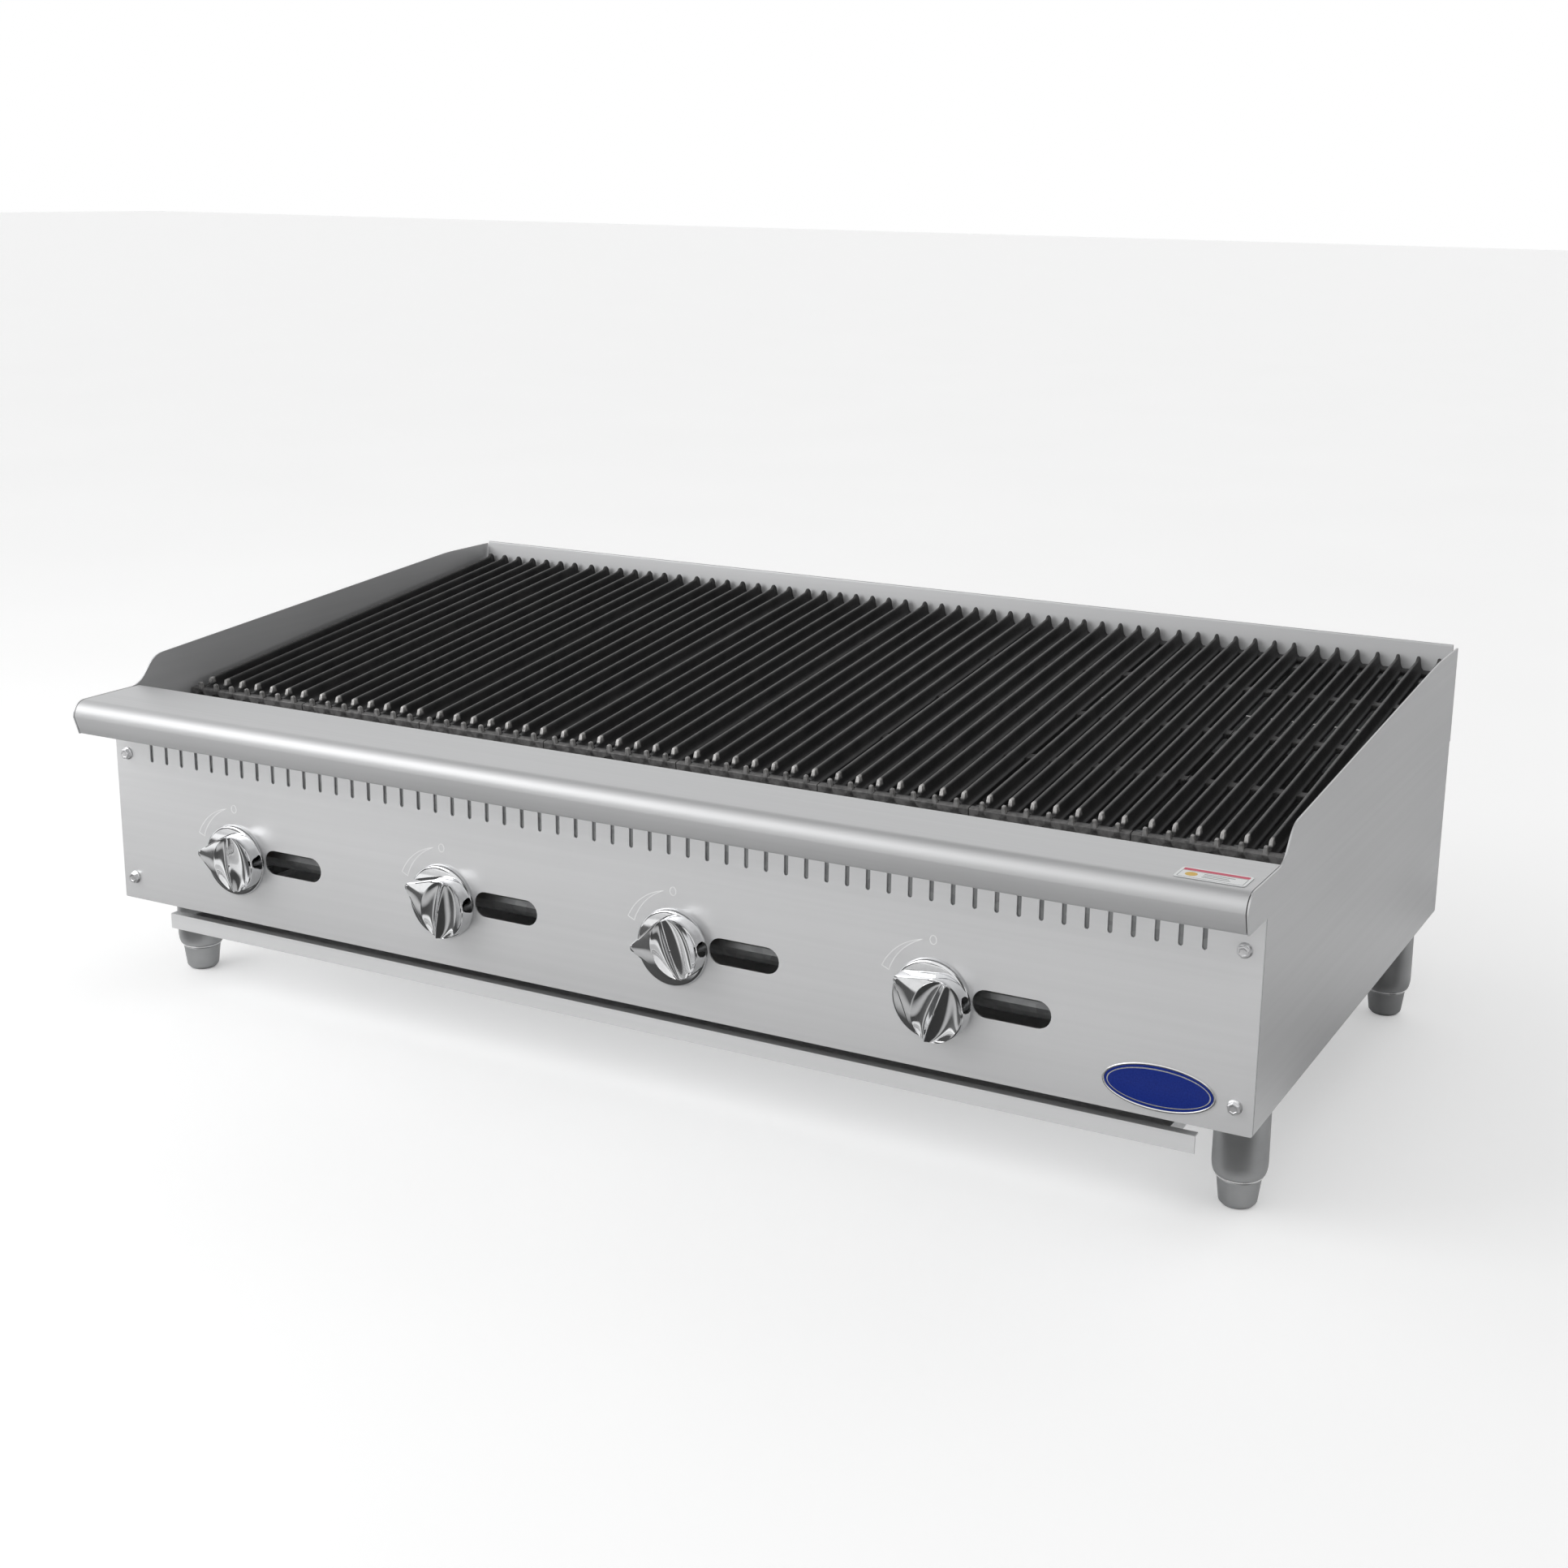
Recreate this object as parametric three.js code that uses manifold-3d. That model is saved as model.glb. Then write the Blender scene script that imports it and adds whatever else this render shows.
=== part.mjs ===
// A four-burner countertop charbroiler: a stainless cabinet on four adjustable legs, with eight cast-iron
// grate sections over radiants and tube burners, a gas manifold with valves and knobs, and a drip tray.
//
// Frame: millimetres, +Z up, +X to the right and -Y to the front, as the cook sees it.
// The origin is on the floor, under the centre of the cabinet.
import * as THREE from "three";
import { mergeVertices } from "three/addons/utils/BufferGeometryUtils.js";
import Module from "manifold-3d";

const wasm = await Module();
wasm.setup();

// ---- Driving dimensions -------------------------------------------------------------------------------

const WIDTH = 1219;
const DEPTH = 700;
const HEIGHT = 384;
const SHEET = 1.5; // stainless sheet of the cabinet
const GAP = 0.3; // left between pieces that touch
const OVERLAP = 0.1; // shared by solids that are joined into one piece

const BODY_BOTTOM = 96; // underside of the cabinet, which the legs carry
const SIDE_RECESS = 0.5; // the lower side panels stand this far inside the upper side plates
const SEAM_Z = 282; // joint between the lower panels and the upper side plates
const LEDGE_TOP = 316.5;
const LEDGE_REAR_Y = -259;
const PANEL_FRONT_Y = -296;
const LEDGE_TROUGH = { rear: -212, top: 290, bottom: 276 }; // the sheet behind the ledge, below the grates
const NOSE_RADIUS = 16; // top front edge of the ledge
const NOSE_SETBACK = 6; // how far the nose's lower edge stands behind its front

const SPLASH_TOP = 381; // side plates, at the rear
const SPLASH_FRONT = { y: -235, z: 344, radius: 12 };
const SPLASH_BEND_Y = 266; // the side plate's top runs level behind this
const BACK_SPLASH = { foot: 300, bend: 354, setback: 7, lean: 2, endSpace: 3 };
const SIDE_FLANGE_X = 548; // inner edge of the side panels' bottom flanges

const VENTS = { count: 57, pitch: 20, width: 4.2, bottom: 247.5, top: 276 };
const BURNER_COUNT = 4;
const BURNER_PITCH = 258.7;
const CONTROL_Z = 160.5; // height of knobs, sight slots and manifold
const KNOB_OFFSET = -65; // knob axis, from its burner's centre plane
const SIGHT_SLOT = { offset: 8.5, rise: 4.5, length: 72, height: 25 };
const STEM_HOLE = 7;
const BOLT_HOLE = 3.5;
const BOLT = { flange: 6.6, flangeHeight: 1.2, head: 5.6, headHeight: 5, shank: 3, shankLength: 12 };
const BOLT_PLACES = [
  ["panel_bolt_upper_left", -593, 253],
  ["panel_bolt_upper_right", 593, 253],
  ["panel_bolt_lower_left", -593, 119.5],
  ["panel_bolt_lower_right", 593, 119.5],
];
const BADGE = { x: 528.5, z: 122.5, width: 98, height: 41, thickness: 1.2 };
const LABEL = { x: 571, y: -319, width: 58, depth: 27, thickness: 0.5 };

const GRATE_COUNT = 8;
const GRATE_TILT = THREE.MathUtils.degToRad(6.67); // the rear of the cooking surface stands higher
const GRATE_FRONT = { y: -187, z: 306.3 }; // rib tops at the front edge
const GRATE_LENGTH = 531; // along the slope
const GRATE_SPACE = 1; // between neighbouring sections
const RIBS_PER_GRATE = 7;
const RIB_PITCH = 21.15;
const RIB = { top: 3.2, base: 11.6, rise: 12.5, depth: 17 };
const WEB_WIDTH = 9;
const WEB_ROWS = [152, 281, 410]; // along the slope
const GRATE_FLANGE = { depth: 26, thickness: 8, step: 7 };
const GRATE_REAR_BAR = 12;
const RIB_NOTCH = { from: 4, to: 17 }; // behind the tooth at each rib's front end

const LEG = { x: 579, front: -221, rear: 285, radius: 24, bottom: 28, taper: 13, mouth: 20.5 };
const LEG_BORE = { radius: 15.4, end: 7 }; // the bore stops this far below the leg's top
const LEG_SIDES = 18;
const FOOT = { radius: 19.5, base: 16.5, shoulder: 26.2, shank: 15, top: 84, edge: 4 };

const TRAY = { front: -285, rear: 312, bottom: 66, wallTop: 86, half: 534, sheet: 1.2 };
const TRAY_FRONT = { half: 558, lip: 82, hem: 9 }; // the pull bar across the tray's front
const TRAY_FLANGE = { width: 10, start: 30 };
const TRAY_RAIL = { wall: 546, foot: 553, hook: 537, front: -262, rear: 330, sheet: 1.2, clearance: 2 };

// ---- Derived values -------------------------------------------------------------------------------------

const HALF_WIDTH = WIDTH / 2;
const INNER_HALF = HALF_WIDTH - SHEET - GAP; // between the upper side plates
const SIDE_INNER = HALF_WIDTH - SIDE_RECESS - SHEET - GAP; // between the lower side panels
const CROSS_HALF = SIDE_INNER - 2; // half the length of the members that run across the firebox
const FRONT_Y = -DEPTH / 2;
const REAR_Y = DEPTH / 2;
const SECTION_PITCH = (2 * (INNER_HALF - 1)) / GRATE_COUNT;
const burnerX = (index) => (index - (BURNER_COUNT - 1) / 2) * BURNER_PITCH;
const BURNERS = Array.from({ length: BURNER_COUNT }, (unused, index) => index);

// ---- Materials ------------------------------------------------------------------------------------------

const finish = (color, roughness, metalness) => () =>
  new THREE.MeshStandardMaterial({ color, roughness, metalness });
const stainless = finish(0xc9cacb, 0.34, 1);
const chrome = finish(0xe6e7e8, 0.08, 1);
const castIron = finish(0x2b2a29, 0.6, 0.5);
const aluminised = finish(0x9c9da0, 0.5, 0.9);
const brass = finish(0xb99a55, 0.35, 1);
const enamelBlue = finish(0x27408b, 0.3, 0.1);
const labelWhite = finish(0xe9e9e6, 0.5, 0);
const footGrey = finish(0x8f9091, 0.42, 0.9);

// ---- Geometry helpers -----------------------------------------------------------------------------------

// A closed geometry as a solid that can be cut and joined.
function solidFrom(geometry) {
  const bare = geometry.index ? geometry.toNonIndexed() : geometry.clone();
  bare.deleteAttribute("normal");
  bare.deleteAttribute("uv");
  const merged = mergeVertices(bare, 1e-4);
  const mesh = new wasm.Mesh({
    numProp: 3,
    vertProperties: merged.attributes.position.array,
    triVerts: new Uint32Array(merged.index.array),
  });
  return new wasm.Manifold(mesh);
}

function geometryFrom(solid) {
  const { vertProperties, triVerts } = solid.getMesh();
  const geometry = new THREE.BufferGeometry();
  geometry.setAttribute("position", new THREE.BufferAttribute(vertProperties, 3));
  geometry.setIndex(new THREE.BufferAttribute(triVerts, 1));
  return geometry;
}

const joined = (geometries) =>
  geometries.map(solidFrom).reduce((whole, piece) => whole.add(piece));
const cutBy = (solid, geometries) =>
  geometries.map(solidFrom).reduce((left, tool) => left.subtract(tool), solid);

// A box from its lowest corner to its highest corner.
function boxBetween([x0, y0, z0], [x1, y1, z1]) {
  const geometry = new THREE.BoxGeometry(x1 - x0, y1 - y0, z1 - z0);
  return geometry.translate((x0 + x1) / 2, (y0 + y1) / 2, (z0 + z1) / 2);
}

const outline = (points) => new THREE.Shape(points.map(([u, v]) => new THREE.Vector2(u, v)));

// A cylinder along Y, from y0 to y1.
function rodAlongY(radius, x, z, y0, y1, sides = 16) {
  const geometry = new THREE.CylinderGeometry(radius, radius, y1 - y0, sides);
  return geometry.translate(x, (y0 + y1) / 2, z);
}

// A solid of revolution about Z from (radius, z) pairs.
function turnedAboutZ(profile, sides) {
  const points = profile.map(([radius, z]) => new THREE.Vector2(radius, z));
  return new THREE.LatheGeometry(points, sides).rotateX(Math.PI / 2);
}

// A (y, z) outline extruded along X, from x0 to x1.
function extrudeAlongX(shape, x0, x1, curveSegments = 6) {
  const settings = { depth: x1 - x0, bevelEnabled: false, curveSegments };
  const geometry = new THREE.ExtrudeGeometry(shape, settings);
  const turn = new THREE.Matrix4().makeBasis(
    new THREE.Vector3(0, 1, 0),
    new THREE.Vector3(0, 0, 1),
    new THREE.Vector3(1, 0, 0),
  );
  return geometry.applyMatrix4(turn).translate(x0, 0, 0);
}

// An (x, z) outline extruded along Y, from y0 to y1.
function extrudeAlongY(shape, y0, y1, curveSegments = 6) {
  const settings = { depth: y1 - y0, bevelEnabled: false, curveSegments };
  const geometry = new THREE.ExtrudeGeometry(shape, settings);
  return geometry.rotateX(Math.PI / 2).translate(0, y1, 0);
}

// The outline of a bent sheet: the path and the same path moved to its left by the sheet's thickness.
function bentSheet(path, thickness) {
  const normals = path.slice(1).map(([u, v], i) => {
    const [u0, v0] = path[i];
    const length = Math.hypot(u - u0, v - v0);
    return [-(v - v0) / length, (u - u0) / length];
  });
  const offset = path.map(([u, v], i) => {
    const before = normals[Math.max(i - 1, 0)];
    const after = normals[Math.min(i, normals.length - 1)];
    const mitre = thickness / (1 + before[0] * after[0] + before[1] * after[1]);
    return [u + (before[0] + after[0]) * mitre, v + (before[1] + after[1]) * mitre];
  });
  return outline([...path, ...offset.reverse()]);
}

// A tube of the given radius along a polyline with rounded corners.
function tubeAlong(points, radius, sides, steps) {
  const path = new THREE.CatmullRomCurve3(points, false, "centripetal");
  const section = outline(
    Array.from({ length: sides }, (unused, i) => {
      const angle = (i / sides) * 2 * Math.PI;
      return [radius * Math.cos(angle), radius * Math.sin(angle)];
    }),
  );
  return new THREE.ExtrudeGeometry(section, { extrudePath: path, steps, bevelEnabled: false });
}

const grill = new THREE.Group();

function place(name, geometry, material, parent = grill) {
  const mesh = new THREE.Mesh(geometry, material());
  mesh.name = name;
  parent.add(mesh);
  return mesh;
}

// ---- Cabinet --------------------------------------------------------------------------------------------

// The nose of the ledge in the (y, z) plane, from its lower edge round to the flat top.
function noseArc(inset) {
  const radius = NOSE_RADIUS - inset;
  const centreY = FRONT_Y + NOSE_RADIUS;
  const centreZ = LEDGE_TOP - NOSE_RADIUS;
  const steps = 5;
  return Array.from({ length: steps + 1 }, (unused, i) => {
    const angle = Math.PI - (i / steps) * (Math.PI / 2);
    return [centreY + radius * Math.cos(angle), centreZ + radius * Math.sin(angle)];
  });
}

// One upper side plate: it closes the ledge's end, and rises behind the ledge as a splash guard.
function splashPlate(side) {
  const lowerNose = [FRONT_Y + NOSE_SETBACK, SEAM_Z + GAP];
  const shape = new THREE.Shape();
  shape.moveTo(...lowerNose);
  for (const point of noseArc(0)) shape.lineTo(...point);
  shape.lineTo(LEDGE_REAR_Y, LEDGE_TOP);
  const { y, z, radius } = SPLASH_FRONT;
  const rise = new THREE.Vector2(y - LEDGE_REAR_Y, z - LEDGE_TOP).normalize();
  const slope = new THREE.Vector2(SPLASH_BEND_Y - y, SPLASH_TOP - z).normalize();
  shape.lineTo(y - radius * rise.x, z - radius * rise.y);
  shape.quadraticCurveTo(y, z, y + radius * slope.x, z + radius * slope.y);
  shape.lineTo(SPLASH_BEND_Y, SPLASH_TOP);
  shape.lineTo(REAR_Y, SPLASH_TOP);
  shape.lineTo(REAR_Y, SEAM_Z + GAP);
  const outer = side * HALF_WIDTH;
  const inner = side * (HALF_WIDTH - SHEET);
  return extrudeAlongX(shape, Math.min(outer, inner), Math.max(outer, inner), 4);
}

// The front ledge: one sheet from under the nose, round the nose and back, then down and under the grates.
function frontLedge() {
  const underside = SEAM_Z + GAP;
  const returnY = PANEL_FRONT_Y - GAP;
  const path = [
    [returnY, underside],
    [FRONT_Y + NOSE_SETBACK, underside],
    ...noseArc(0),
    [LEDGE_REAR_Y, LEDGE_TOP],
    [LEDGE_REAR_Y, LEDGE_TROUGH.top],
    [LEDGE_TROUGH.rear, LEDGE_TROUGH.bottom],
  ];
  return extrudeAlongX(bentSheet(path.reverse(), SHEET), -SIDE_INNER, SIDE_INNER);
}

// The rear splash guard: a vertical back, a folded top and a face that leans back above the grates.
function backSplash() {
  const { foot, bend, setback, lean, endSpace } = BACK_SPLASH;
  const path = [
    [REAR_Y - setback, foot],
    [REAR_Y - setback, bend],
    [REAR_Y - SHEET - lean, HEIGHT],
    [REAR_Y, HEIGHT],
    [REAR_Y, SEAM_Z + GAP],
  ];
  const shape = bentSheet(path.reverse(), SHEET);
  return extrudeAlongX(shape, -INNER_HALF + endSpace, INNER_HALF - endSpace);
}

// One lower side panel, with the inward flange that the legs bolt to.
function sidePanel(side) {
  const outer = side * (HALF_WIDTH - SIDE_RECESS);
  const path = [
    [side * SIDE_FLANGE_X, BODY_BOTTOM],
    [outer, BODY_BOTTOM],
    [outer, SEAM_Z - GAP],
  ];
  const shape = bentSheet(side > 0 ? path : path.reverse(), SHEET);
  return extrudeAlongY(shape, PANEL_FRONT_Y + SHEET + GAP, REAR_Y);
}

function roundSlot(cx, cz, length, height) {
  const radius = height / 2;
  const path = new THREE.Path();
  path.absarc(cx + length / 2 - radius, cz, radius, -Math.PI / 2, Math.PI / 2);
  path.absarc(cx - length / 2 + radius, cz, radius, Math.PI / 2, (3 * Math.PI) / 2);
  return path;
}

function roundHole(cx, cz, radius) {
  return new THREE.Path().absarc(cx, cz, radius, 0, 2 * Math.PI);
}

// One vent: an upright slot with a pointed lower end.
function ventSlot(cx) {
  const half = VENTS.width / 2;
  const points = [
    [cx - half, VENTS.top],
    [cx - half, VENTS.bottom + half],
    [cx, VENTS.bottom],
    [cx + half, VENTS.bottom + half],
    [cx + half, VENTS.top],
  ];
  return new THREE.Path(points.map(([u, v]) => new THREE.Vector2(u, v)));
}

function controlPanel() {
  const half = HALF_WIDTH - 1;
  const shape = outline([
    [-half, BODY_BOTTOM],
    [half, BODY_BOTTOM],
    [half, SEAM_Z - GAP],
    [-half, SEAM_Z - GAP],
  ]);
  for (let i = 0; i < VENTS.count; i += 1)
    shape.holes.push(ventSlot((i - (VENTS.count - 1) / 2) * VENTS.pitch));
  for (const index of BURNERS) {
    const x = burnerX(index);
    const { offset, rise, length, height } = SIGHT_SLOT;
    shape.holes.push(roundSlot(x + offset, CONTROL_Z + rise, length, height));
    shape.holes.push(roundHole(x + KNOB_OFFSET, CONTROL_Z, STEM_HOLE));
  }
  for (const [, x, z] of BOLT_PLACES) shape.holes.push(roundHole(x, z, BOLT_HOLE));
  return extrudeAlongY(shape, PANEL_FRONT_Y, PANEL_FRONT_Y + SHEET, 5);
}

const INLET = { x: 540, radius: 13.4, hole: 16 };

function backPanel() {
  const shape = outline([
    [-SIDE_INNER, BODY_BOTTOM + SHEET + GAP],
    [SIDE_INNER, BODY_BOTTOM + SHEET + GAP],
    [SIDE_INNER, SEAM_Z - GAP],
    [-SIDE_INNER, SEAM_Z - GAP],
  ]);
  shape.holes.push(roundHole(INLET.x, CONTROL_Z, INLET.hole));
  return extrudeAlongY(shape, REAR_Y - SHEET, REAR_Y);
}

place("side_panel_left", sidePanel(-1), stainless);
place("side_panel_right", sidePanel(1), stainless);
place("splash_guard_left", splashPlate(-1), stainless);
place("splash_guard_right", splashPlate(1), stainless);
place("front_ledge", frontLedge(), stainless);
place("back_splash", backSplash(), stainless);
place("back_panel", backPanel(), stainless);
place("control_panel", controlPanel(), stainless);

// A hex flange bolt: flange, hexagon head and a shank through the panel.
function flangeBolt(x, z) {
  const seat = PANEL_FRONT_Y - GAP;
  const flangeFront = seat - BOLT.flangeHeight;
  const flange = rodAlongY(BOLT.flange, x, z, flangeFront, seat, 10);
  const head = rodAlongY(BOLT.head, x, z, seat - BOLT.headHeight, flangeFront + OVERLAP, 6);
  const shank = rodAlongY(BOLT.shank, x, z, flangeFront + OVERLAP, seat + BOLT.shankLength, 6);
  return geometryFrom(joined([flange, head, shank]));
}

for (const [name, x, z] of BOLT_PLACES) place(name, flangeBolt(x, z), chrome);

function badgePlate() {
  const { x, z, width, height, thickness } = BADGE;
  const shape = new THREE.Shape().absellipse(x, z, width / 2, height / 2, 0, 2 * Math.PI);
  return extrudeAlongY(shape, PANEL_FRONT_Y - GAP - thickness, PANEL_FRONT_Y - GAP, 20);
}

function ledgeLabel() {
  const { x, y, width, depth, thickness } = LABEL;
  const bottom = LEDGE_TOP + GAP;
  return boxBetween(
    [x - width / 2, y - depth / 2, bottom],
    [x + width / 2, y + depth / 2, bottom + thickness],
  );
}

place("badge", badgePlate(), enamelBlue);
place("ledge_label", ledgeLabel(), labelWhite);

// ---- Grates ---------------------------------------------------------------------------------------------

// One grate section in its own frame: x across, y up the slope from the front edge, z above the rib tops.
function grateSection() {
  const half = (SECTION_PITCH - GRATE_SPACE) / 2;
  const ribShape = (x) =>
    outline([
      [x - RIB.base / 2, -RIB.depth],
      [x + RIB.base / 2, -RIB.depth],
      [x + RIB.top / 2, 0],
      [x - RIB.top / 2, 0],
    ]);
  const pieces = [];
  for (let i = 0; i < RIBS_PER_GRATE; i += 1) {
    const x = (i - (RIBS_PER_GRATE - 1) / 2) * RIB_PITCH;
    pieces.push(extrudeAlongY(ribShape(x), 0, GRATE_LENGTH));
  }
  for (const y of WEB_ROWS) {
    const low = [-half, y - WEB_WIDTH / 2, -RIB.depth];
    pieces.push(boxBetween(low, [half, y + WEB_WIDTH / 2, -RIB.rise]));
  }
  const { depth, thickness, step } = GRATE_FLANGE;
  pieces.push(boxBetween([-half, 0, -depth], [half, thickness, -step]));
  const rearBar = [-half, GRATE_LENGTH - GRATE_REAR_BAR, -RIB.depth];
  pieces.push(boxBetween(rearBar, [half, GRATE_LENGTH, -RIB.rise]));
  const notch = boxBetween([-half, RIB_NOTCH.from, -step], [half, RIB_NOTCH.to, 1]);
  return geometryFrom(cutBy(joined(pieces), [notch]));
}

for (let i = 0; i < GRATE_COUNT; i += 1) {
  const grate = place(`grate_${i + 1}`, grateSection(), castIron);
  grate.rotation.x = GRATE_TILT;
  const x = (i - (GRATE_COUNT - 1) / 2) * SECTION_PITCH;
  grate.position.set(x, GRATE_FRONT.y, GRATE_FRONT.z);
}

const GRATE_RAIL = { width: 22, depth: 22, sheet: 3 };
const RAIL_PLACES = { front: GRATE_FLANGE.thickness + 3, rear: GRATE_LENGTH - 26 };

// A rail that carries the grates: it lies along the slope, just under the ribs.
function grateRail(atSlope) {
  const { width, depth, sheet } = GRATE_RAIL;
  const flat = boxBetween([-CROSS_HALF, 0, -sheet], [CROSS_HALF, width, 0]);
  const upright = boxBetween([-CROSS_HALF, 0, -depth], [CROSS_HALF, sheet, -sheet + 1]);
  const geometry = geometryFrom(joined([flat, upright]));
  geometry.translate(0, atSlope, -RIB.depth - GAP);
  geometry.rotateX(GRATE_TILT).translate(0, GRATE_FRONT.y, GRATE_FRONT.z);
  return geometry;
}

place("grate_rail_front", grateRail(RAIL_PLACES.front), aluminised);
place("grate_rail_rear", grateRail(RAIL_PLACES.rear), aluminised);

// ---- Firebox --------------------------------------------------------------------------------------------

const BURNER = { z: 192, radius: 15, spread: 52, front: -236, cross: -150, rear: 290 };
const MIXER = { radius: 19, length: 30, socket: 8, socketDepth: 20 };
const BURNER_BAR = 11; // half the height and width of the bars that close the loop
const BAFFLE = { y: -208, top: 270, clearance: 4 };
const PIPE_SIDES = 10;

function heatBaffle() {
  const bottom = BURNER.z + MIXER.radius + BAFFLE.clearance;
  return boxBetween([-CROSS_HALF, BAFFLE.y - SHEET, bottom], [CROSS_HALF, BAFFLE.y, BAFFLE.top]);
}

place("heat_baffle", heatBaffle(), aluminised);

// A burner: a mixer tube that feeds a loop of pipe, with the far end joined so that both legs burn evenly.
function burner(x) {
  const { z, radius, spread, front, cross, rear } = BURNER;
  const bar = BURNER_BAR;
  const mixer = rodAlongY(MIXER.radius, x, z, front, front + MIXER.length, PIPE_SIDES);
  const neck = rodAlongY(radius, x, z, front + MIXER.length - 1, cross, PIPE_SIDES);
  const legs = [x - spread, x + spread].map((legX) =>
    rodAlongY(radius, legX, z, cross - bar - 1, rear, PIPE_SIDES),
  );
  const bars = [cross, rear - bar - 3].map((y) =>
    boxBetween([x - spread, y - bar, z - bar], [x + spread, y + bar, z + bar]),
  );
  const socket = rodAlongY(MIXER.socket, x, z, front - 1, front + MIXER.socketDepth, PIPE_SIDES);
  return geometryFrom(cutBy(joined([mixer, neck, ...legs, ...bars]), [socket]));
}

const RADIANT = { half: 122, low: 226, high: 252, dip: 6, sheet: 4, front: -190, rear: 318 };
const RADIANT_FOOT = { width: 6, length: 20, inset: 2 };
const SUPPORT = { front: -185, rear: 252, width: 24, height: 40, sheet: 3 };
const SUPPORT_TOP = BURNER.z - BURNER.radius - GAP;

// A radiant: a cast-iron plate folded into a ridge over each burner leg, on four short feet.
function radiant(x) {
  const { half, low, high, dip, sheet, front, rear } = RADIANT;
  const { width, length, inset } = RADIANT_FOOT;
  const path = [
    [x - half, low],
    [x - BURNER.spread, high],
    [x, low + dip],
    [x + BURNER.spread, high],
    [x + half, low],
  ];
  const plate = extrudeAlongY(bentSheet(path, sheet), front, rear);
  const feet = [];
  for (const footX of [x - half + inset, x + half - inset - width]) {
    for (const footY of [SUPPORT.front + inset, SUPPORT.rear + inset]) {
      const foot = [footX, footY, SUPPORT_TOP + GAP];
      feet.push(boxBetween(foot, [footX + width, footY + length, low + sheet - 1]));
    }
  }
  return geometryFrom(joined([plate, ...feet]));
}

// An angle across the cabinet that the burners and radiants stand on, notched for the gas inlet pipe.
function burnerSupport(y) {
  const { width, height, sheet } = SUPPORT;
  const path = [
    [y + width, SUPPORT_TOP],
    [y, SUPPORT_TOP],
    [y, SUPPORT_TOP - height],
  ];
  const angle = extrudeAlongX(bentSheet(path, sheet), -CROSS_HALF, CROSS_HALF);
  const notch = boxBetween(
    [INLET.x - INLET.hole, y - 4, CONTROL_Z - INLET.hole],
    [INLET.x + INLET.hole, y + width + 1, SUPPORT_TOP + sheet + 1],
  );
  return geometryFrom(cutBy(solidFrom(angle), [notch]));
}

for (const index of BURNERS) {
  place(`burner_${index + 1}`, burner(burnerX(index)), castIron);
  place(`radiant_${index + 1}`, radiant(burnerX(index)), castIron);
}
place("burner_support_front", burnerSupport(SUPPORT.front), aluminised);
place("burner_support_rear", burnerSupport(SUPPORT.rear), aluminised);

// ---- Gas train ------------------------------------------------------------------------------------------

const MANIFOLD = { y: -258, radius: 13.5, left: -500, right: 512 };
const VALVE = { radius: 9, stem: 4, stemFront: -312.5, bodyFront: -289, tube: 5, riserY: -281, tubeZ: 192 };

function gasManifold() {
  const { y, radius, left, right } = MANIFOLD;
  const pipe = new THREE.CylinderGeometry(radius, radius, right - left, 16).rotateZ(Math.PI / 2);
  return pipe.translate((left + right) / 2, y, CONTROL_Z);
}

function gasInletPipe() {
  const start = MANIFOLD.right + GAP;
  const route = [
    [start, MANIFOLD.y],
    [start + 10, MANIFOLD.y],
    [INLET.x - 3, MANIFOLD.y + 10],
    [INLET.x, MANIFOLD.y + 30],
    [INLET.x, 60],
    [INLET.x, REAR_Y - 1],
  ];
  const points = route.map(([x, y]) => new THREE.Vector3(x, y, CONTROL_Z));
  const pipe = tubeAlong(points, INLET.radius, PIPE_SIDES, 14);
  const mouth = rodAlongY(INLET.radius - 3, INLET.x, CONTROL_Z, REAR_Y - 30, REAR_Y + 5, PIPE_SIDES);
  return geometryFrom(cutBy(solidFrom(pipe), [mouth]));
}

// A valve: its body on the manifold, the stem that the knob turns, and the feed tube to its burner.
function valve(index) {
  const x = burnerX(index) + KNOB_OFFSET;
  const { radius, stem, stemFront, bodyFront, tube, riserY, tubeZ } = VALVE;
  const body = rodAlongY(radius, x, CONTROL_Z, bodyFront, MANIFOLD.y - MANIFOLD.radius - GAP, PIPE_SIDES);
  const shaft = rodAlongY(stem, x, CONTROL_Z, stemFront, bodyFront + 1, PIPE_SIDES);
  const nozzle = burnerX(index);
  const route = [
    [x, riserY, CONTROL_Z + 4],
    [x, riserY, tubeZ - 8],
    [x + 8, riserY, tubeZ],
    [nozzle - 12, riserY, tubeZ],
    [nozzle, riserY + 10, tubeZ],
    [nozzle, BURNER.front - 2, tubeZ],
  ];
  const feed = tubeAlong(route.map((point) => new THREE.Vector3(...point)), tube, 6, 12);
  return geometryFrom(joined([body, shaft, feed]));
}

place("gas_manifold", gasManifold(), aluminised);
place("gas_inlet_pipe", gasInletPipe(), aluminised);
for (const index of BURNERS) place(`valve_${index + 1}`, valve(index), brass);

// ---- Knobs ----------------------------------------------------------------------------------------------

const BEZEL = { radius: 37, hole: 6.5, thickness: 5, rim: 2 };
const KNOB = { radius: 29, tipRadius: 4, tipReach: 41.5, tipAngle: 161, skirt: 13, drum: 25, drumDepth: 2.5 };
const LOBE = { x: 10.7, z: -0.2 }; // centre of the knob's round end, from the axis that it turns on
const RIDGE = { length: 50, base: 16, top: 4.5, height: 4, offset: 4, lean: -6 };
const KNOB_BORE = { radius: 4.6, depth: 12 };
const KNOB_BACK = PANEL_FRONT_Y - GAP - BEZEL.thickness - 0.6;
// How far each knob stands anticlockwise of its off mark, in degrees, seen from the front.
const KNOB_TURNS = [12, -4, 27, -12];

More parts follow.
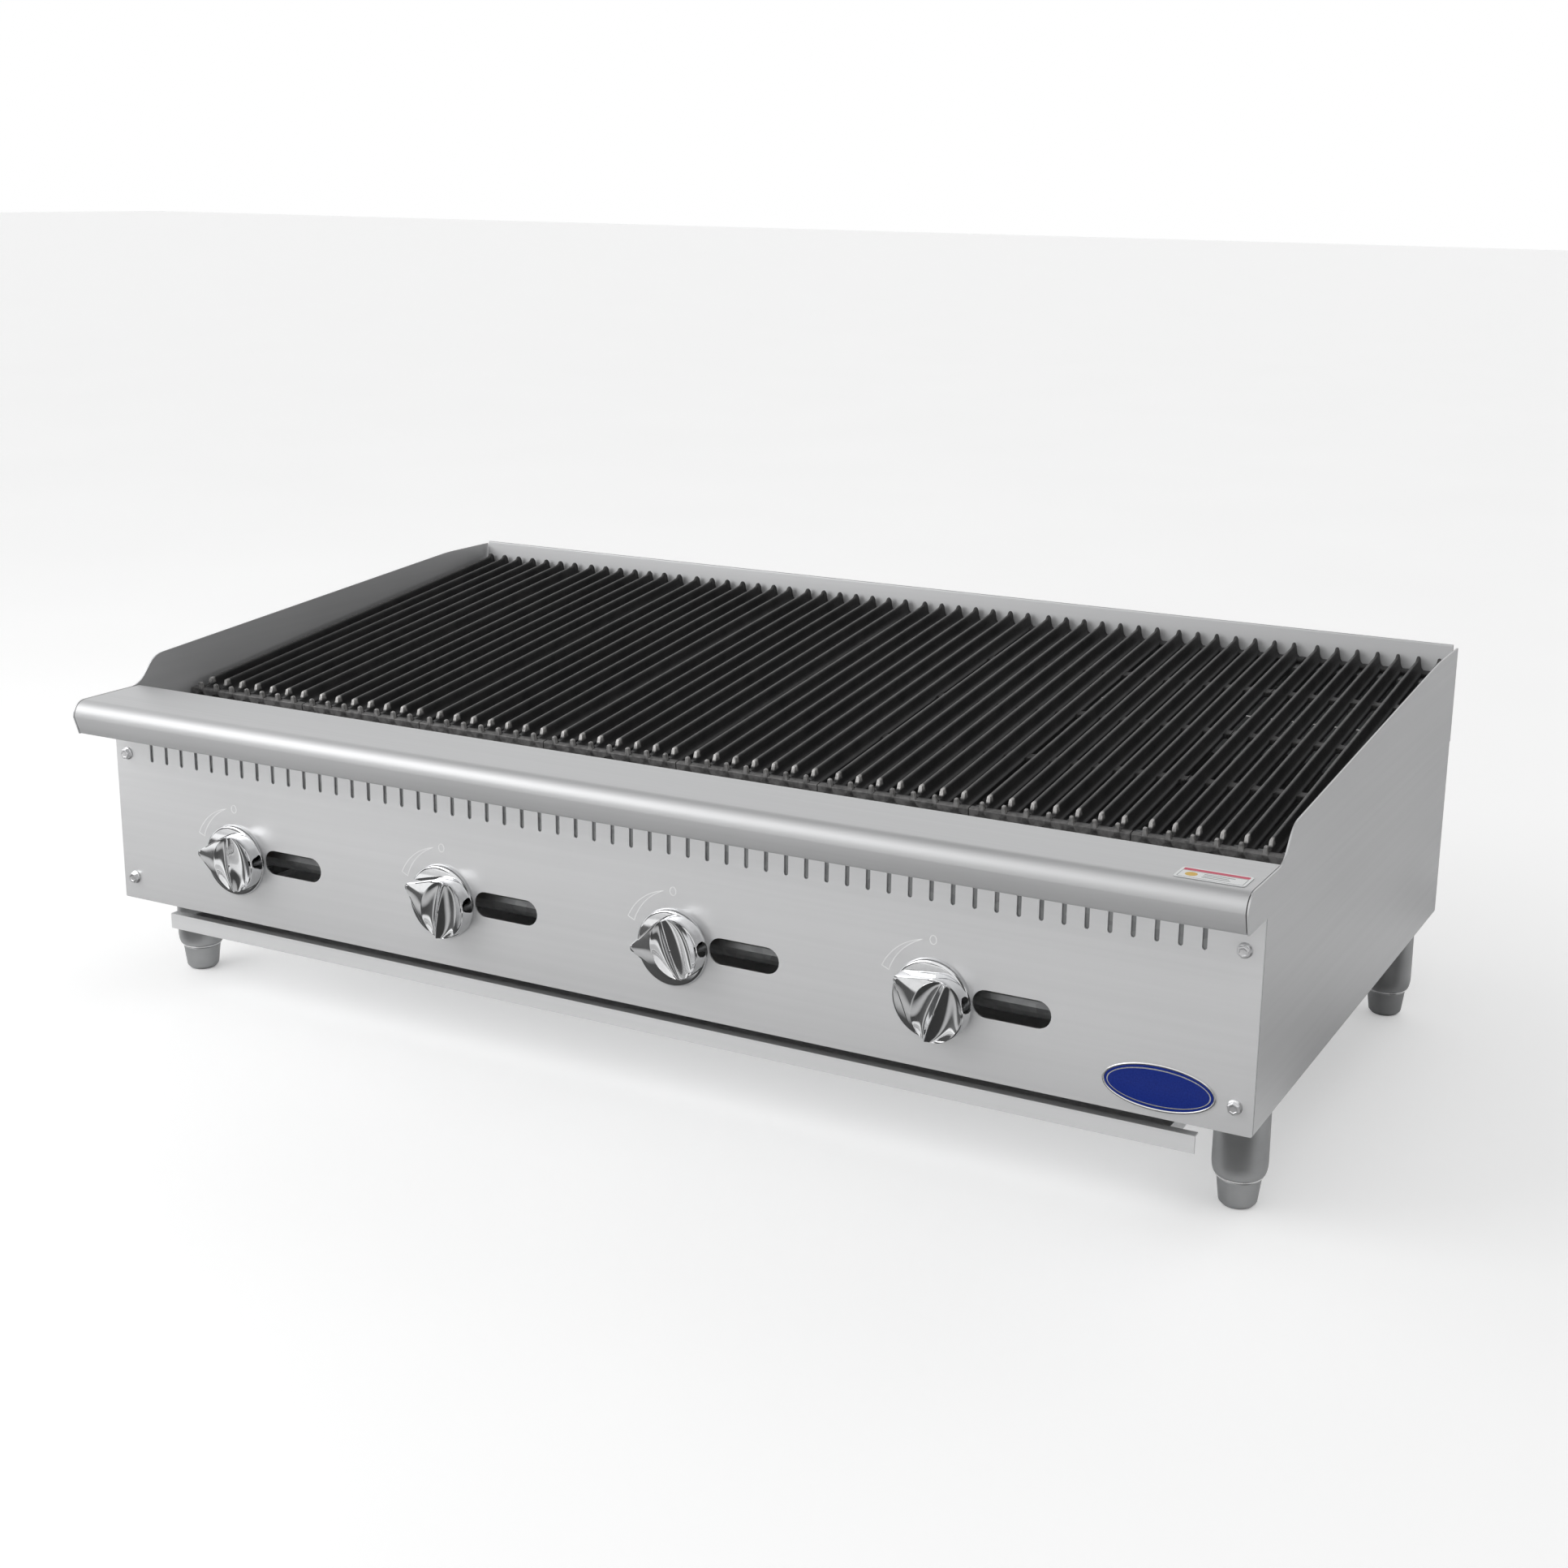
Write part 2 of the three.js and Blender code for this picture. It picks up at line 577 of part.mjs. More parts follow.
// The outline around two circles and their outer tangents.
function tangentOutline(radiusA, centreB, radiusB, steps) {
  const along = Math.atan2(centreB.y, centreB.x);
  const spread = Math.acos((radiusA - radiusB) / centreB.length());
  const arc = (centre, radius, from, to) =>
    Array.from({ length: steps + 1 }, (unused, i) => {
      const angle = from + ((to - from) * i) / steps;
      return [centre.x + radius * Math.cos(angle), centre.y + radius * Math.sin(angle)];
    });
  return outline([
    ...arc(new THREE.Vector2(), radiusA, along + spread, along - spread + 2 * Math.PI),
    ...arc(centreB, radiusB, along - spread, along + spread),
  ]);
}

// A knob that turns on the Y axis. A teardrop skirt carries a drum, with a ridge across it for the fingers.
// The drum stands off the axis, on the side away from the skirt's pointed end.
function knob() {
  const angle = THREE.MathUtils.degToRad(KNOB.tipAngle);
  const tip = new THREE.Vector2(KNOB.tipReach * Math.cos(angle), KNOB.tipReach * Math.sin(angle));
  const skirtFront = KNOB_BACK - KNOB.skirt;
  const drumFront = skirtFront - KNOB.drumDepth;
  const skirtShape = tangentOutline(KNOB.radius, tip, KNOB.tipRadius, 14);
  const skirt = extrudeAlongY(skirtShape, skirtFront, KNOB_BACK);
  const drum = new THREE.CylinderGeometry(KNOB.drum + 1, KNOB.drum, KNOB.drumDepth + 1, 24);
  drum.translate(0, drumFront + (KNOB.drumDepth + 1) / 2, 0);
  const ridgeShape = outline([
    [-RIDGE.base / 2, drumFront + 1],
    [-RIDGE.top / 2, drumFront - RIDGE.height],
    [RIDGE.top / 2, drumFront - RIDGE.height],
    [RIDGE.base / 2, drumFront + 1],
  ]);
  const settings = { depth: RIDGE.length, bevelEnabled: false };
  const ridge = new THREE.ExtrudeGeometry(ridgeShape, settings).translate(0, 0, -RIDGE.length / 2);
  ridge.rotateY(-THREE.MathUtils.degToRad(RIDGE.lean)).translate(RIDGE.offset, 0, 0);
  const body = joined([skirt, drum, ridge]).translate([LOBE.x, 0, LOBE.z]);
  const bore = rodAlongY(KNOB_BORE.radius, 0, 0, KNOB_BACK - KNOB_BORE.depth, KNOB_BACK + 1, 16);
  return geometryFrom(cutBy(body, [bore]));
}

// The round trim behind each knob.
function bezel() {
  const { radius, hole, thickness, rim } = BEZEL;
  const profile = [
    [hole, 0],
    [radius, 0],
    [radius - rim, thickness],
    [hole, thickness],
    [hole, 0],
  ];
  const points = profile.map(([r, depth]) => new THREE.Vector2(r, depth));
  const geometry = new THREE.LatheGeometry(points, 28).rotateX(Math.PI);
  return geometry.translate(0, PANEL_FRONT_Y - GAP, 0);
}

for (const index of BURNERS) {
  const axis = new THREE.Group();
  axis.position.set(burnerX(index) + KNOB_OFFSET, 0, CONTROL_Z);
  grill.add(axis);
  place(`knob_bezel_${index + 1}`, bezel(), chrome, axis);
  const turned = place(`knob_${index + 1}`, knob(), chrome, axis);
  turned.rotation.y = -THREE.MathUtils.degToRad(KNOB_TURNS[index]);
}

// ---- Drip tray ------------------------------------------------------------------------------------------

// The tray is a folded pan with side flanges that slide in the rails, and a pull bar across its front.
function dripTray() {
  const { front, rear, bottom, wallTop, half, sheet } = TRAY;
  const { half: barHalf, lip, hem } = TRAY_FRONT;
  const { width, start } = TRAY_FLANGE;
  const barRear = front + 2 * sheet;
  const pan = boxBetween([-half, front + sheet, bottom], [half, rear, wallTop]);
  const flangeLow = [-half - width, front + start, wallTop - sheet];
  const flange = boxBetween(flangeLow, [half + width, rear, wallTop]);
  const bar = boxBetween([-barHalf, front, bottom], [barHalf, barRear, lip]);
  const hemFold = boxBetween([-barHalf, front, lip - sheet], [barHalf, front + hem, lip]);
  const hollow = boxBetween(
    [-half + sheet, barRear, bottom + sheet],
    [half - sheet, rear - sheet, wallTop + 1],
  );
  const aboveLip = boxBetween(
    [-barHalf - 1, front - 1, lip],
    [barHalf + 1, front + start - 1, wallTop + 1],
  );
  const shell = cutBy(joined([pan, flange, bar]), [hollow, aboveLip]);
  return geometryFrom(shell.add(solidFrom(hemFold)));
}

// One J-shaped rail: it hangs from the side panel's flange and hooks under the tray's flange.
function trayRail(side) {
  const { wall, foot, hook, front, rear, sheet, clearance } = TRAY_RAIL;
  const top = BODY_BOTTOM - GAP;
  const hookZ = TRAY.wallTop - TRAY.sheet - clearance;
  const path = [
    [side * foot, top],
    [side * wall, top],
    [side * wall, hookZ],
    [side * hook, hookZ],
  ];
  const shape = bentSheet(side > 0 ? path : path.reverse(), sheet);
  return extrudeAlongY(shape, front, rear);
}

place("drip_tray", dripTray(), stainless);
place("tray_rail_left", trayRail(-1), aluminised);
place("tray_rail_right", trayRail(1), aluminised);

// ---- Legs -----------------------------------------------------------------------------------------------

// A leg: a tube that narrows at its lower end, bored for the foot's shank.
function leg() {
  const { radius, bottom, taper, mouth } = LEG;
  const boreTop = BODY_BOTTOM - LEG_BORE.end;
  const steps = 2;
  const narrowing = Array.from({ length: steps + 1 }, (unused, i) => {
    const angle = (i / steps) * (Math.PI / 2);
    return [mouth + (radius - mouth) * Math.sin(angle), bottom + taper * (1 - Math.cos(angle))];
  });
  const profile = [
    [0, boreTop],
    [LEG_BORE.radius, boreTop],
    [LEG_BORE.radius, bottom],
    ...narrowing,
    [radius, BODY_BOTTOM - GAP],
    [0, BODY_BOTTOM - GAP],
  ];
  return turnedAboutZ(profile, LEG_SIDES);
}

// A foot: a tapered cup with a shank that screws up into the leg.
function foot() {
  const { radius, base, shoulder, shank, top, edge } = FOOT;
  const profile = [
    [0, 0],
    [base - edge, 0],
    [base, edge],
    [radius, shoulder],
    [shank, shoulder],
    [shank, top],
    [0, top],
  ];
  return turnedAboutZ(profile, LEG_SIDES);
}

const LEG_PLACES = [
  ["front_left", -LEG.x, LEG.front],
  ["front_right", LEG.x, LEG.front],
  ["rear_left", -LEG.x, LEG.rear],
  ["rear_right", LEG.x, LEG.rear],
];

for (const [name, x, y] of LEG_PLACES) {
  const corner = new THREE.Group();
  corner.position.set(x, y, 0);
  grill.add(corner);
  place(`leg_${name}`, leg(), footGrey, corner);
  place(`foot_${name}`, foot(), footGrey, corner);
}

export default grill;
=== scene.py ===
"""A countertop charbroiler: brushed stainless cabinet, cast-iron grates, chrome knobs and plated legs.

Lengths in this script are millimetres in the part's own frame (+Z up, -Y to the front). MM turns them into
Blender's metres when a mesh is made.
"""
import bmesh
import bpy
import math
from mathutils import Matrix, Vector


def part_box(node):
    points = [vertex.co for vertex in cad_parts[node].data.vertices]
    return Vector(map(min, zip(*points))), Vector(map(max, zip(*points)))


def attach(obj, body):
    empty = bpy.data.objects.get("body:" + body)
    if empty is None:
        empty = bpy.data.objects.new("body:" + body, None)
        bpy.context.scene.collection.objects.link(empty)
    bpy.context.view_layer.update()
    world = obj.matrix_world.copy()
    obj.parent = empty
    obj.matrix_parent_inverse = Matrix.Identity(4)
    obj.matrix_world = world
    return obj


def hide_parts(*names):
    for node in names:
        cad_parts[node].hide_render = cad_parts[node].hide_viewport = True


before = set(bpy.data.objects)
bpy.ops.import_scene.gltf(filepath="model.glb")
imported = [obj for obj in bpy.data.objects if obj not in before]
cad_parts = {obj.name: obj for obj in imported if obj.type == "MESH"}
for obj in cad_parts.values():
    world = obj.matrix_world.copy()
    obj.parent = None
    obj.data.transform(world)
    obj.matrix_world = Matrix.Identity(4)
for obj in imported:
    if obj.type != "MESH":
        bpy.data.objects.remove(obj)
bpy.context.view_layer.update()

MM = 0.001
# Points closer than this, in metres, are one point.
SAME_POINT = 1e-7


def box_mm(node):
    """The lowest and highest corner of a CAD node, in millimetres."""
    low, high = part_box(node)
    return Vector(low) / MM, Vector(high) / MM


# ---- Places taken from the frame -------------------------------------------------------------

splash_low, splash_high = box_mm("splash_guard_right")
panel_low, panel_high = box_mm("control_panel")
ledge_low, ledge_high = box_mm("front_ledge")
back_low, back_high = box_mm("back_splash")
grate_low, grate_high = box_mm("grate_1")

HALF_WIDTH = splash_high.x
FRONT_Y = splash_low.y
REAR_Y = splash_high.y
SEAM_Z = splash_low.z
PANEL_FRONT = panel_low.y
KNOB_AXES = [tuple(sum(box_mm(f"knob_bezel_{i}"), Vector()) / 2) for i in range(1, 5)]
# Bolts, bezels and the ledge's lower edge start just in front of the panel.
PANEL_SEAT = PANEL_FRONT - 0.3
BOLTS = [f"panel_bolt_{row}_{side}" for row in ("upper", "lower") for side in ("left", "right")]

# ---- Sizes of the visible detail -------------------------------------------------------------

SHEET = 1.5
# How far the edges of a folded sheet are rounded.
SHEET_EDGE = 0.3
LEDGE_TOP = 316.5
LEDGE_REAR = -259
NOSE_RADIUS = 16
NOSE_SETBACK = 6
NOSE_STEPS = 18
LEDGE_TROUGH = [(LEDGE_REAR, LEDGE_TOP), (LEDGE_REAR, 290), (-212, 276)]
SPLASH_BEND_Y = 266
SPLASH_FRONT = (-235, 344)
SPLASH_CORNER = 12
BACK_FACE = dict(y=REAR_Y - 7, bottom=300, bend=354, top_y=REAR_Y - SHEET - 2)
STEM_HOLE = 7
BOLT_HOLE = 3.5
VENTS = dict(count=57, pitch=20, width=4.2, bottom=247.5, top=276)
# Each sight slot is to the right of a knob's axis by offset, and above it by rise.
SIGHT_SLOT = dict(offset=73.5, rise=4.5, length=72, height=25)
GRATE_TILT = math.radians(6.67)
GRATE_FRONT = (-187, 306.3)
GRATE_LENGTH = 531
RIB_PITCH = 21.15
RIB_COUNT = 7
# How far each knob stands from upright, in degrees, anticlockwise as the cook sees it.
KNOB_TURNS = (12, -4, 27, -12)


# ---- Mesh helpers ----------------------------------------------------------------------------

def finish_mesh(name, mesh, material, body, node, sharp=32):
    """Makes a piece of a mesh: smooth, with one material, riding on a body. node is what it replaces."""
    piece = bpy.data.objects.new(name, mesh)
    bpy.context.scene.collection.objects.link(piece)
    mesh.materials.clear()
    mesh.materials.append(material)
    mesh.shade_smooth()
    mesh.set_sharp_from_angle(angle=math.radians(sharp))
    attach(piece, body)
    if node:
        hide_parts(node)
    return piece


def mesh_from(points, faces, matrix=Matrix()):
    """A mesh from points in millimetres, placed by matrix."""
    mesh = bpy.data.meshes.new("mesh")
    mesh.from_pydata([tuple((matrix @ Vector(p)) * MM) for p in points], [], faces)
    mesh.validate()
    mesh.update()
    return mesh


def bevelled(piece, width, segments=2, angle=30):
    """Rounds a piece's sharp edges by width millimetres."""
    bevel = piece.modifiers.new("edges", "BEVEL")
    bevel.width = width * MM
    bevel.segments = segments
    bevel.limit_method = "ANGLE"
    bevel.angle_limit = math.radians(angle)
    bevel.harden_normals = True
    return piece


def prism(outline, start, end):
    """Points and faces of a closed outline of (y, z) pairs, swept along X from start to end."""
    count = len(outline)
    points = [(x, y, z) for x in (start, end) for y, z in outline]
    faces = [(i, (i + 1) % count, count + (i + 1) % count, count + i) for i in range(count)]
    faces.append(tuple(reversed(range(count))))
    faces.append(tuple(range(count, 2 * count)))
    return points, faces


def outward(mesh, merge=True):
    """Turns every face of a closed mesh outwards. merge also joins points that coincide."""
    work = bmesh.new()
    work.from_mesh(mesh)
    if merge:
        bmesh.ops.remove_doubles(work, verts=work.verts, dist=SAME_POINT)
    bmesh.ops.recalc_face_normals(work, faces=work.faces)
    work.to_mesh(mesh)
    work.free()
    return mesh


def full_turn(steps):
    """Evenly spaced angles once round, in radians."""
    return [2 * math.pi * i / steps for i in range(steps)]


def arc(cu, cv, radius, start, end, steps=8):
    """Points along an arc, with angles in degrees."""
    angles = [math.radians(start + (end - start) * i / steps) for i in range(steps + 1)]
    return [(cu + radius * math.cos(a), cv + radius * math.sin(a)) for a in angles]


def rounded_path(path, radius, steps=5):
    """A polyline with each inner corner rounded."""
    out = [path[0]]
    for before, corner, after in zip(path, path[1:], path[2:]):
        a, c, b = Vector(before), Vector(corner), Vector(after)
        reach = min(radius, (a - c).length / 2.1, (b - c).length / 2.1)
        p, q = c + (a - c).normalized() * reach, c + (b - c).normalized() * reach
        for i in range(steps + 1):
            t = i / steps
            out.append(tuple((1 - t) ** 2 * p + 2 * t * (1 - t) * c + t ** 2 * q))
    return out + [path[-1]]


def sheet_outline(path, thickness):
    """The outline of a bent sheet: a path and its offset to the left."""
    normals = []
    for (u0, v0), (u1, v1) in zip(path, path[1:]):
        length = math.hypot(u1 - u0, v1 - v0)
        normals.append(((v0 - v1) / length, (u1 - u0) / length))
    offset = []
    for i, (u, v) in enumerate(path):
        a, b = normals[max(i - 1, 0)], normals[min(i, len(normals) - 1)]
        mitre = thickness / (1 + a[0] * b[0] + a[1] * b[1])
        offset.append((u + (a[0] + b[0]) * mitre, v + (a[1] + b[1]) * mitre))
    return list(path) + offset[::-1]


def strip_mesh(path, thickness, start, end, axis="x"):
    """A bent sheet as quads: both skins and all its edges. path is across the X or Y axis it runs along."""
    ring = sheet_outline(path, thickness)
    count = len(path)
    points = [(w, u, v) if axis == "x" else (u, w, v) for w in (start, end) for u, v in ring]
    total = len(ring)
    faces = [(i, (i + 1) % total, total + (i + 1) % total, total + i) for i in range(total)]
    for side in (0, total):
        for i in range(count - 1):
            faces.append((side + i, side + i + 1, side + total - 2 - i, side + total - 1 - i))
    return outward(mesh_from(points, faces))


def plate_mesh(outer, holes, thickness, axis, place):
    """A flat plate with holes, centred at place along axis. outer and holes are loops of (u, v).

    u and v are X and Z for a plate that faces along y, Y and Z along x, and X and Y along z.
    """
    curve = bpy.data.curves.new("plate", "CURVE")
    curve.dimensions = "2D"
    curve.fill_mode = "BOTH"
    for loop in [outer, *holes]:
        spline = curve.splines.new("POLY")
        spline.points.add(len(loop) - 1)
        for point, (u, v) in zip(spline.points, loop):
            point.co = (u * MM, v * MM, 0, 1)
        spline.use_cyclic_u = True
    curve.extrude = thickness / 2 * MM
    holder = bpy.data.objects.new("plate", curve)
    bpy.context.scene.collection.objects.link(holder)
    depsgraph = bpy.context.evaluated_depsgraph_get()
    mesh = bpy.data.meshes.new_from_object(holder.evaluated_get(depsgraph))
    bpy.data.objects.remove(holder)
    bpy.data.curves.remove(curve)
    offset = place * MM
    turns = {
        "x": Matrix(((0, 0, 1, offset), (1, 0, 0, 0), (0, 1, 0, 0), (0, 0, 0, 1))),
        "y": Matrix(((1, 0, 0, 0), (0, 0, -1, offset), (0, 1, 0, 0), (0, 0, 0, 1))),
        "z": Matrix.Translation((0, 0, offset)),
    }
    mesh.transform(turns[axis])
    return outward(mesh)


def lathe(profile, steps, ring=False):
    """Points and faces of a solid of revolution about local Z, from (radius, height) pairs.

    The profile runs from the axis back to the axis, or round a closed section if ring is true.
    """
    points, faces, rings = [], [], []
    for radius, height in profile:
        if radius < 1e-6:
            rings.append([len(points)])
            points.append((0, 0, height))
            continue
        rings.append(list(range(len(points), len(points) + steps)))
        for i in range(steps):
            angle = 2 * math.pi * i / steps
            points.append((radius * math.cos(angle), radius * math.sin(angle), height))
    pairs = list(zip(rings, rings[1:])) + ([(rings[-1], rings[0])] if ring else [])
    for low, high in pairs:
        for i in range(steps):
            j = (i + 1) % steps
            face = dict.fromkeys(
                (low[i % len(low)], low[j % len(low)], high[j % len(high)], high[i % len(high)])
            )
            if len(face) > 2:
                faces.append(tuple(face))
    return points, faces


def tube_faces(rings, count, closed=False):
    """Faces of a tube through rings of count points each. Its ends are capped, or joined if closed."""
    faces = []
    for r in range(rings if closed else rings - 1):
        here, there = r * count, (r + 1) % rings * count
        for i in range(count):
            j = (i + 1) % count
            faces.append((here + i, here + j, there + j, there + i))
    if not closed:
        last = (rings - 1) * count
        faces.append(tuple(range(count)))
        faces.append(tuple(last + i for i in reversed(range(count))))
    return faces


def loft(rings, closed=False):
    """A mesh through rings of equal length. closed joins the last ring to the first."""
    points = [p for ring in rings for p in ring]
    return outward(mesh_from(points, tube_faces(len(rings), len(rings[0]), closed)))


def join_meshes(parts):
    """Several (points, faces) pairs as one."""
    points, faces = [], []
    for more_points, more_faces in parts:
        base = len(points)
        points += more_points
        faces += [tuple(base + i for i in face) for face in more_faces]
    return points, faces


# ---- Materials -------------------------------------------------------------------------------

class Look:
    """A Principled material being wired up."""

    def __init__(self, name, **sockets):
        self.material = bpy.data.materials.new(name)
        self.material.use_nodes = True
        self.tree = self.material.node_tree
        self.tree.nodes.clear()
        output = self.tree.nodes.new("ShaderNodeOutputMaterial")
        self.shader = self.tree.nodes.new("ShaderNodeBsdfPrincipled")
        self.link(self.shader.outputs[0], output.inputs[0])
        for socket, value in sockets.items():
            self.shader.inputs[socket.replace("_", " ")].default_value = value
        self.coordinates = self.tree.nodes.new("ShaderNodeTexCoord").outputs["Object"]

    def link(self, start, end):
        self.tree.links.new(start, end)

    def noise(self, scale, detail, roughness):
        """Noise over object coordinates. scale is cycles per metre along X, Y and Z."""
        mapping = self.tree.nodes.new("ShaderNodeMapping")
        mapping.inputs["Scale"].default_value = scale
        texture = self.tree.nodes.new("ShaderNodeTexNoise")
        texture.inputs["Scale"].default_value = 1.0
        texture.inputs["Detail"].default_value = detail
        texture.inputs["Roughness"].default_value = roughness
        self.link(self.coordinates, mapping.inputs["Vector"])
        self.link(mapping.outputs[0], texture.inputs["Vector"])
        return texture.outputs["Fac"]

    def cells(self, scale):
        """A different value in each cell of a random pattern."""
        mapping = self.tree.nodes.new("ShaderNodeMapping")
        mapping.inputs["Scale"].default_value = scale
        texture = self.tree.nodes.new("ShaderNodeTexVoronoi")
        texture.inputs["Scale"].default_value = 1.0
        self.link(self.coordinates, mapping.inputs["Vector"])
        self.link(mapping.outputs[0], texture.inputs["Vector"])
        return texture.outputs["Color"]

    def map(self, value, low, high, start=0.3, end=0.7):
        """Maps a value from start..end to low..high."""
        node = self.tree.nodes.new("ShaderNodeMapRange")
        node.inputs["From Min"].default_value = start
        node.inputs["From Max"].default_value = end
        node.inputs["To Min"].default_value = low
        node.inputs["To Max"].default_value = high
        self.link(value, node.inputs["Value"])
        return node.outputs["Result"]

    def math(self, kind, first, second):
        """A math node of two values, each a socket or a number."""
        node = self.tree.nodes.new("ShaderNodeMath")
        node.operation = kind
        for socket, value in zip(node.inputs, (first, second)):
            if isinstance(value, (int, float)):
                socket.default_value = value
            else:
                self.link(value, socket)
        return node.outputs[0]

    def blend(self, factor, first, second):
        """A colour between two, each a socket or an (r, g, b)."""
        node = self.tree.nodes.new("ShaderNodeMix")
        node.data_type = "RGBA"
        self.link(factor, node.inputs["Factor"])
        for socket, value in ((node.inputs[6], first), (node.inputs[7], second)):
            if isinstance(value, tuple):
                socket.default_value = (*value, 1)
            else:
                self.link(value, socket)
        return node.outputs[2]

    def attribute(self, name):
        node = self.tree.nodes.new("ShaderNodeAttribute")
        node.attribute_name = name
        return node.outputs["Fac"]

    def colour(self, socket):
        self.link(socket, self.shader.inputs["Base Color"])

    def rough(self, socket):
        self.link(socket, self.shader.inputs["Roughness"])

    def bump(self, *layers):
        """Layers of (height, strength, distance in mm)."""
        normal = None
        for height, strength, distance in layers:
            node = self.tree.nodes.new("ShaderNodeBump")
            node.inputs["Strength"].default_value = strength
            node.inputs["Distance"].default_value = distance * MM
            self.link(height, node.inputs["Height"])
            if normal:
                self.link(normal, node.inputs["Normal"])
            normal = node.outputs["Normal"]
        self.link(normal, self.shader.inputs["Normal"])


def brushed_steel(name, grain, light, dark, metallic, smooth=0.32, dull=0.42):
    """Stainless sheet with a fine brushed grain along one axis, its roughness from smooth to dull."""
    look = Look(name, Metallic=metallic)
    fine = {"x": (6, 1500, 1500), "y": (1500, 6, 1500)}[grain]
    wide = {"x": (2, 160, 160), "y": (160, 2, 160)}[grain]
    lines = look.noise(fine, 4, 0.6)
    streaks = look.noise(wide, 3, 0.5)
    clouds = look.noise((3, 3, 3), 3, 0.5)
    tone = look.math("ADD", look.math("MULTIPLY", streaks, 0.5), look.math("MULTIPLY", clouds, 0.5))
    look.colour(look.blend(look.map(tone, 0, 1, 0.35, 0.65), dark, light))
    smear = look.math("ADD", look.math("MULTIPLY", lines, 0.45), look.math("MULTIPLY", clouds, 0.55))
    look.rough(look.map(smear, smooth, dull))
    look.bump((lines, 0.1, 0.05), (streaks, 0.02, 0.06))
    return look.material


def chrome_plate(name, low=0.03, high=0.08, colour=(0.86, 0.865, 0.875)):
    """Bright plating with a slight orange peel and faint polishing marks."""
    look = Look(name, Metallic=1.0)
    peel = look.noise((260, 260, 260), 2, 0.5)
    marks = look.noise((900, 900, 90), 3, 0.6)
    dulled = tuple(0.93 * c for c in colour)
    look.colour(look.blend(look.map(peel, 0, 1), dulled, colour))
    look.rough(look.map(marks, low, high))
    look.bump((peel, 0.03, 0.04))
    return look.material


def cast_iron(name, dark, light, with_wear_and_sheen=False):
    """Cast iron: a sandy skin with blotches. Where asked, a point attribute turns it to brighter, smoother
    metal: its edges worn where it is handled, and a painted sheen elsewhere.
    """
    look = Look(name, Metallic=0.35, Specular_IOR_Level=0.45)
    grit = look.noise((900, 900, 900), 5, 0.65)
    blotch = look.noise((45, 45, 45), 4, 0.6)
    lumps = look.noise((170, 170, 170), 3, 0.5)
    skin = look.blend(look.map(blotch, 0, 1), dark, light)
    roughness = look.map(grit, 0.34, 0.56)
    if with_wear_and_sheen:
        # The attribute is real wear on the ribs, and a painted sheen on the webs and the front flange: both
        # turn the iron to brighter, smoother metal.
        wear_and_sheen = look.math("MULTIPLY", look.attribute("wear_and_sheen"), look.map(lumps, 0.45, 1.25, 0.3, 0.6))
        skin = look.blend(wear_and_sheen, skin, (0.52, 0.51, 0.5))
        roughness = look.math("SUBTRACT", roughness, look.math("MULTIPLY", wear_and_sheen, 0.12))
    look.colour(skin)
    look.rough(roughness)
    look.bump((grit, 0.35, 0.12), (lumps, 0.3, 0.35))
    return look.material


def aluminised_steel(name):
    """Aluminised sheet with its soft spangle."""
    look = Look(name, Metallic=0.9)
    spangle = look.cells((140, 140, 140))
    clouds = look.noise((9, 9, 9), 4, 0.6)
    look.colour(look.blend(look.map(spangle, 0, 1, 0, 1), (0.3, 0.305, 0.31), (0.44, 0.445, 0.45)))
    look.rough(look.map(clouds, 0.4, 0.62))
    look.bump((spangle, 0.05, 0.05))
    return look.material


def valve_brass(name):
    look = Look(name, Metallic=1.0)
    tarnish = look.noise((70, 70, 70), 4, 0.6)
    turned = look.noise((40, 1200, 40), 2, 0.5)
    look.colour(look.blend(look.map(tarnish, 0, 1), (0.42, 0.29, 0.11), (0.66, 0.5, 0.22)))
    look.rough(look.map(tarnish, 0.24, 0.44))
    look.bump((turned, 0.1, 0.05))
    return look.material


def leg_plating(name):
    """Satin nickel plating with turning marks round each leg."""
    look = Look(name, Metallic=1.0)
    rings = look.noise((5, 5, 1300), 3, 0.5)
    clouds = look.noise((25, 25, 25), 3, 0.5)
    look.colour(look.blend(look.map(clouds, 0, 1), (0.36, 0.365, 0.37), (0.44, 0.445, 0.45)))
    look.rough(look.map(rings, 0.38, 0.44))
    look.bump((rings, 0.02, 0.02))
    return look.material


def enamel(name, deep, bright):
    """Glassy colour with a slight ripple and specks."""
    look = Look(name, Roughness=0.2, Specular_IOR_Level=0.2, Coat_Weight=0.15, Coat_Roughness=0.05)
    specks = look.noise((700, 700, 700), 2, 0.5)
    ripple = look.noise((60, 60, 60), 2, 0.5)
    look.colour(look.blend(look.map(specks, 0, 1), deep, bright))
    look.bump((ripple, 0.12, 0.1))
    return look.material


def printed(name, deep, bright, roughness=0.45):
    """Ink or vinyl with a fine tooth."""
    look = Look(name, Roughness=roughness, Specular_IOR_Level=0.6)
    tooth = look.noise((1500, 1500, 1500), 2, 0.5)
    look.colour(look.blend(look.map(tooth, 0, 1), deep, bright))
    look.bump((tooth, 0.1, 0.03))
    return look.material


